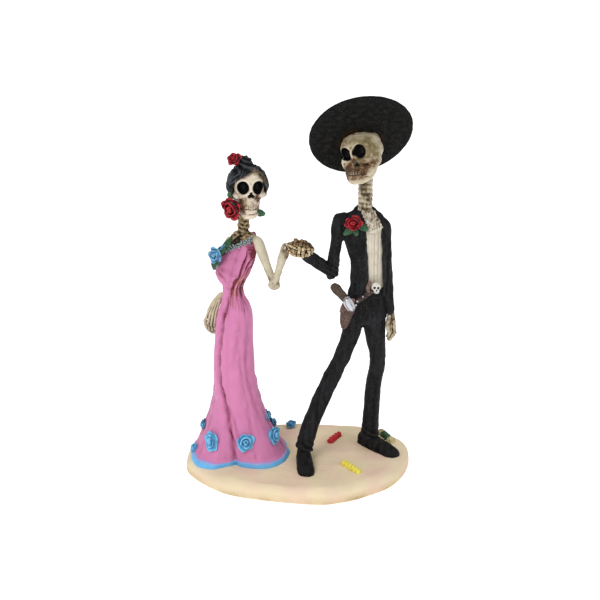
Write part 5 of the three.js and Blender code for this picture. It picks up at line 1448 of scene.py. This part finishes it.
def buildShoes():
    parts = []
    sections = [(-0.25, 0.5, 5), (-0.235, 0.72, 6.6), (-0.14, 0.86, 8.2), (0.1, 0.9, 7.2), (0.34, 0.94, 5.8),
                (0.56, 1, 4.4), (0.68, 0.84, 3.6), (0.74, 0.6, 3.0), (0.77, 0.3, 2.2)]
    around = [(-1, -2.5), (-0.5, -2.5), (0, -2.5), (0.5, -2.5), (1, -2.5), (1.05, -0.8), (1.06, 0.7), (0.98, 1.2),
              (0.95, "0.5"), (0.72, "0.8"), (0.4, "0.95"), (0, "1"), (-0.4, "0.95"), (-0.72, "0.8"), (-0.95, "0.5"),
              (-0.98, 1.2), (-1.06, 0.7), (-1.05, -0.8)]
    for key, way in (("front", -86), ("rear", -46)):
        ankle = his(*legPaths[key][0][-1])
        along = np.array([math.cos(math.radians(way)), math.sin(math.radians(way)), 0])
        across = np.array([-along[1], along[0], 0])
        rings = []
        for share, broad, top in sections:
            ring = []
            for side, z in around:
                z = float(z) * top if isinstance(z, str) else z
                ring.append((ankle[0], ankle[1], sandTop) + along * share * 27 + across * side * 4.5 * broad + (0, 0, z))
            rings.append(ring)
        shoe = loft("shoe", rings)
        useModifier(shoe, "SUBSURF", levels=2, render_levels=2)
        parts.append(shoe)
    shoes = join("shoes", parts)
    own = readPoints(shoes)
    push(shoes, 0.1 * ripples(own, 5, 41))
    wearAndShadeMaps(shoes, ((3, 0.08), (16, 0.4)))
    return ready(shoes, materials["blackCloth"])


def buildShirt():
    shirt = loft("shirt", suitRings(-0.6, 90, 137.6, 80, sides=200))
    own = readPoints(shirt)
    x, front = own[:, 0] - hisStand[0], np.clip((-own[:, 1] - 0.0) / 3, 0, 1)
    placket = np.exp(-((x - 14.2) / 0.9) ** 4) * 0.25
    line = -0.2 * np.exp(-((x - 15.2) / 0.2) ** 2) - 0.2 * np.exp(-((x - 13.2) / 0.2) ** 2)
    pleats = 0.05 * np.sin(x * 3.6)
    push(shirt, front * (placket + line + pleats) + 0.1 * ripples(own * (1, 1, 0.4), 5, 51) * front)
    parts = [shirt]
    for z in np.linspace(97, 123, 5):
        parts.append(ball(his(14.2, -6.2 + 0.006 * (z - 110) ** 2, z), (0.5, 0.4, 0.5), segments=16))
    whole = join("shirt", parts)
    frills = []
    for k in range(6):
        drop, middle = 1.7 * k, 9.9 + 0.5 * k
        wide = 2.6 + 0.36 * k
        frills.append(tube([his(middle - wide, -3.2, 138.6 - drop), his(middle, -5.4 - 0.12 * k, 137.6 - drop),
                            his(middle + wide, -3.2, 138.8 - drop)], [(1.0, 0.8), (1.3, 1.0), (1.0, 0.8)]))
    ruffle = fuse("ruffle", frills, 0.3, 3)
    own = readPoints(ruffle)
    push(ruffle, 0.16 * np.sin(own[:, 0] * 2.9 + 1.6 * ripples(own, 4, 52)) + 0.18 * ripples(own, 1.8, 53))
    whole = join("shirt", [whole, ruffle])
    wearAndShadeMaps(whole, ((3, 0.06), (14, 0.25)),
             lambda p, n: np.clip(np.clip((p[:, 2] - 138.5) / 3, 0, 0.38) * (1 + ripples(p, 2.5, 54))
                                  + dabs(p, [(*his(12, -6, 96), 4, 0.3)]), 0, 1))
    return ready(whole, materials["shirtPaint"])


buildJacket()
buildTrousers()
buildShoes()
buildShirt()
print("suit ready")


# His neck and hanging hand


def buildHisBones():
    parts = neckParts(his(8.3, 0.4, 133), his(8.6, 2.2, 165), 3.85, 10, 0.03)
    neck = fuse("hisNeck", parts, 0.34, 3)
    own = readPoints(neck)
    push(neck, 0.12 * ripples(own, 2.6, 27) + 0.16 * np.sin(own[:, 2] * 2.4 + 0.2 * own[:, 0]))

    def stain_and_shade(points, normals):
        middle = np.exp(-((points[:, 0] - 34.2 - np.sin(points[:, 2] * 0.5)) / 2.6) ** 2) * (points[:, 1] < 6)
        return np.clip(middle * (1.0 + 0.6 * ripples(points, 3, 28)) + dabs(points, [(*his(8.6, -3, 157), 3.4, 0.9)]), 0, 1.5)

    wearAndShadeMaps(neck, ((3, 0.05), (20, 0.5)), stain_and_shade)
    ready(neck, materials["boneResin"])
    wrist = his(22.4, 0.9, 83.4)
    parts = [tube([wrist, his(22.8, 0.9, 79), his(23.2, 1.0, 74.6)], [(1.7, 1.9), (2.0, 2.6), (2.0, 3.2)], ref=(0, 1, 0))]
    for n in (-1.5, -0.5, 0.5, 1.5):
        root = his(23.4 - 0.5 * n, 0.9 + 1.5 * n, 77.0)
        middle = his(23.8 - 0.7 * n, 0.7 + 1.5 * n, 71)
        tip = his(21.8 - 0.5 * n, 0.6 + 1.4 * n, 66.0 + 0.5 * n * n)
        parts.append(fingerBones(root, middle, 1.15))
        parts.append(fingerBones(middle, tip, 1.05))
    parts.append(tube([his(21.6, -1.4, 80.2), his(20.9, -2.4, 76.2), his(21.2, -2.8, 72.6)], [1.2, 1.2, 1.0]))
    parts.append(tube([his(22.0, -0.4, 79.5), his(22.2, -0.5, 75), his(22.0, -0.2, 70), his(21.8, 0.2, 67.5)],
                      [(1.3, 1.6), (1.5, 1.9), (1.4, 1.8), (1.0, 1.3)], ref=(0, 1, 0)))
    hand = fuse("hangingHand", parts, 0.26, 2)
    wearAndShadeMaps(hand, ((3, 0.05), (14, 0.25)), lambda p, n: np.clip(0.6 + 0.08 * (p[:, 2] - 84), 0.55, 1.2))
    ready(hand, materials["handBone"])


buildHisBones()


# Belt, buckle, gun and holster


def buildBelt():
    buckle, hip = his(14.7, -6.3, 98.6), his(1.6, -6.4, 88.6)
    slope = (buckle[2] - hip[2]) / (buckle[0] - hip[0])
    sides = 160
    way = np.arange(sides) * 2 * math.pi / sides
    rings = []
    for drop, swell in ((-1.9, 0.0), (-1.7, 0.9), (-1.2, 1.15), (0, 1.2), (1.2, 1.15), (1.7, 0.9), (1.9, 0.0)):
        points = []
        for a in way:
            height = 93.0
            for _ in range(6):
                x, y, wide, deep = smoothRows(suitStations, height)
                px = x + (wide + swell) * math.cos(a)
                height = 98.0 + drop + slope * (px - 14.7)
                height = min(max(height, 79.0), 101.5)
            points.append(his(px, y + (deep + swell) * math.sin(a), height))
        rings.append(points)
    belt = loft("belt", rings, closed=True)
    useModifier(belt, "SUBSURF", levels=1, render_levels=1)
    own = readPoints(belt)
    hidden = (own[:, 0] > his(15.2, 0, 0)[0]) * (own[:, 1] < his(0, 2, 0)[1])
    own[hidden] = his(8, 0, 94) + (own[hidden] - his(8, 0, 94)) * (0.78, 0.78, 1)
    writePoints(belt, own)
    front = (0, 1, 0.3)
    holster = tube([his(0.6, -6.8, 88.6), his(-0.2, -6.8, 86), his(-1.0, -6.4, 82.6), his(-1.7, -5.8, 78.4), his(-2.1, -5.3, 75.8)],
                   [(3.9, 2.3), (3.8, 2.4), (3.3, 2.3), (2.6, 2.0), (1.7, 1.4)], ref=front, sides=24, steps=8)
    flap = tube([his(2.6, -7.6, 92.0), his(1.2, -8.2, 88.6), his(-2.4, -8.4, 85.6)], [(1.3, 0.6)] * 3, ref=front)
    whole = fuse("holster", [holster, flap], 0.28, 3)
    loop = tube([his(10.4, -7.0, 96.2), his(10.2, -7.4, 98.8), his(10.9, -7.2, 101.8)], [(0.9, 0.5), (1.0, 0.5), (0.7, 0.5)], ref=front)
    whole = join("beltAndHolster", [belt, whole, loop])
    own = readPoints(whole)
    push(whole, 0.06 * ripples(own, 4, 71))
    wearAndShadeMaps(whole, ((3, 0.06), (14, 0.3)))
    return ready(whole, materials["beltLeather"])


def buildGun():
    front = (0, 1, 0.3)
    grip = tube([his(-7.4, -5.6, 98.4), his(-6.2, -5.8, 97.2), his(-4.2, -6.1, 95.0), his(-1.4, -6.5, 91.8)],
                [(2.3, 1.7), (2.8, 1.9), (2.4, 1.8), (2.2, 1.6)], ref=front, steps=7, sides=20)
    own = readPoints(grip)
    push(grip, 0.08 * ripples(own, 2.5, 81))
    wearAndShadeMaps(grip, ((3, 0.06), (14, 0.3)))
    grip.name = grip.data.name = "gunGrip"
    ready(grip, materials["gripPaint"])
    drum = tube([his(-0.6, -7.4, 91.6), his(-0.2, -7.8, 90.9), his(1.1, -7.8, 88.2), his(1.5, -7.4, 87.3)],
                [2.1, 2.6, 2.6, 2.2], ref=front, steps=7, sides=36)
    own = readPoints(drum)
    axis = his(1.5, -7.4, 87.3) - his(-0.6, -7.4, 91.6)
    axis /= np.linalg.norm(axis)
    flat = own - his(0.4, -7.6, 89.5)
    side = np.cross(axis, (0, 1, 0))
    side /= np.linalg.norm(side)
    up = np.cross(axis, side)
    around = np.arctan2(flat @ up, flat @ side)
    push(drum, -0.28 * np.clip(np.cos(around * 6), 0, 1))
    studs = [ball(his(4.6, -7.8, 91.0), (0.55, 0.4, 0.5), segments=16), ball(his(4.0, -8.0, 89.0), (0.6, 0.4, 0.45), segments=16),
             ball(his(7.6, -7.8, 93.6), (0.4, 0.4, 0.4), segments=16)]
    metal = join("gunMetal", [drum, *studs])
    wearAndShadeMaps(metal, ((3, 0.06), (10, 0.2)))
    return ready(metal, materials["silverPaint"])


def buildBuckle():
    centre = his(14.3, -6.9, 98.9)
    parts = [ball(centre, (2.45, 1.5, 2.4)), ball(centre + (0.3, -0.3, -2.4), (1.5, 1.3, 1.5)),
             ball(centre + (-1.7, 0.2, -0.9), (0.8, 0.8, 0.7)), ball(centre + (1.7, 0.2, -0.9), (0.8, 0.8, 0.7))]
    face = fuse("buckleSkull", parts, 0.2, 3)
    tools = [ball(centre + (-0.8, -1.6, -0.2), (0.65, 1.0, 0.75)), ball(centre + (1.1, -1.6, -0.4), (0.65, 1.0, 0.75)),
             ball(centre + (0.3, -1.7, -1.7), (0.35, 0.8, 0.5))]
    cut(face, tools)
    useModifier(face, "REMESH", mode="VOXEL", voxel_size=0.14 * mm)
    useModifier(face, "SMOOTH", factor=0.5, iterations=2)
    own = readPoints(face)
    teeth = (own[:, 2] < centre[2] - 2.3) * (own[:, 1] < centre[1] - 0.5)
    push(face, -0.12 * teeth * (np.cos(own[:, 0] * 9) > 0.2))
    wearAndShadeMaps(face, ((3, 0.05), (16, 0.2)))
    own = readPoints(face) - centre
    sockets = np.zeros(len(own))
    for x, z, r in ((-0.8, -0.2, 0.72), (1.1, -0.4, 0.72), (0.3, -1.7, 0.42)):
        sockets = np.maximum(sockets, np.clip((1.05 - ((own[:, 0] - x) / r) ** 2 - ((own[:, 2] - z) / (r * 1.1)) ** 2) * 5, 0, 1)
                             * (own[:, 1] < -0.2))
    keepValue(face, "socket", sockets)
    return ready(face, socketMaterial("bucklePaint", {**looks["silverPaint"], "paint": paint(206, 202, 192), "metal": 0.1},
                                      paint(16, 14, 14)))


buildBelt()
buildGun()
buildBuckle()
print("belt and gun ready")


# Three ribbed bits on the sand


def buildBits():
    for name, x, y, way, half, thick, material, slot in (
        ("redBit", 20, 19.4, 60, 4.4, 1.9, "redBit", "red_bit"),
        ("yellowBit", 28.2, -16.8, -54, 6.0, 2.0, "yellowBit", "yellow_bit"),
        ("greenBit", 48.4, 20.6, -63, 5.6, 2.1, "leafPaint", "leaf"),
    ):
        along = np.array([math.cos(math.radians(way)), math.sin(math.radians(way)), 0])
        middle = np.array([x, y, sandTop + thick * 0.35])
        path = [middle + along * half * s for s in np.linspace(-1, 1, 25)]
        sizes = [thick * (0.88 + 0.16 * math.cos(i * 1.25)) for i in range(25)]
        bit = tube(path, sizes, steps=2, sides=20, ref=(0, 0, 1), name=name)
        own = readPoints(bit)
        push(bit, 0.12 * ripples(own, 2.5, 91) + 0.2 * np.sin((own - middle) @ along * 2.2 + own[:, 2] * 2))
        ends = np.clip((abs((own - middle) @ along) - half * 0.62) / 0.8, 0, 1)
        wearAndShadeMaps(bit, ((3, 0.06), (10, 0.2)), None, lambda p, n: ends if name == "greenBit" else 0 * ends)
        ready(bit, materials[material])


buildBits()
print("bits ready")
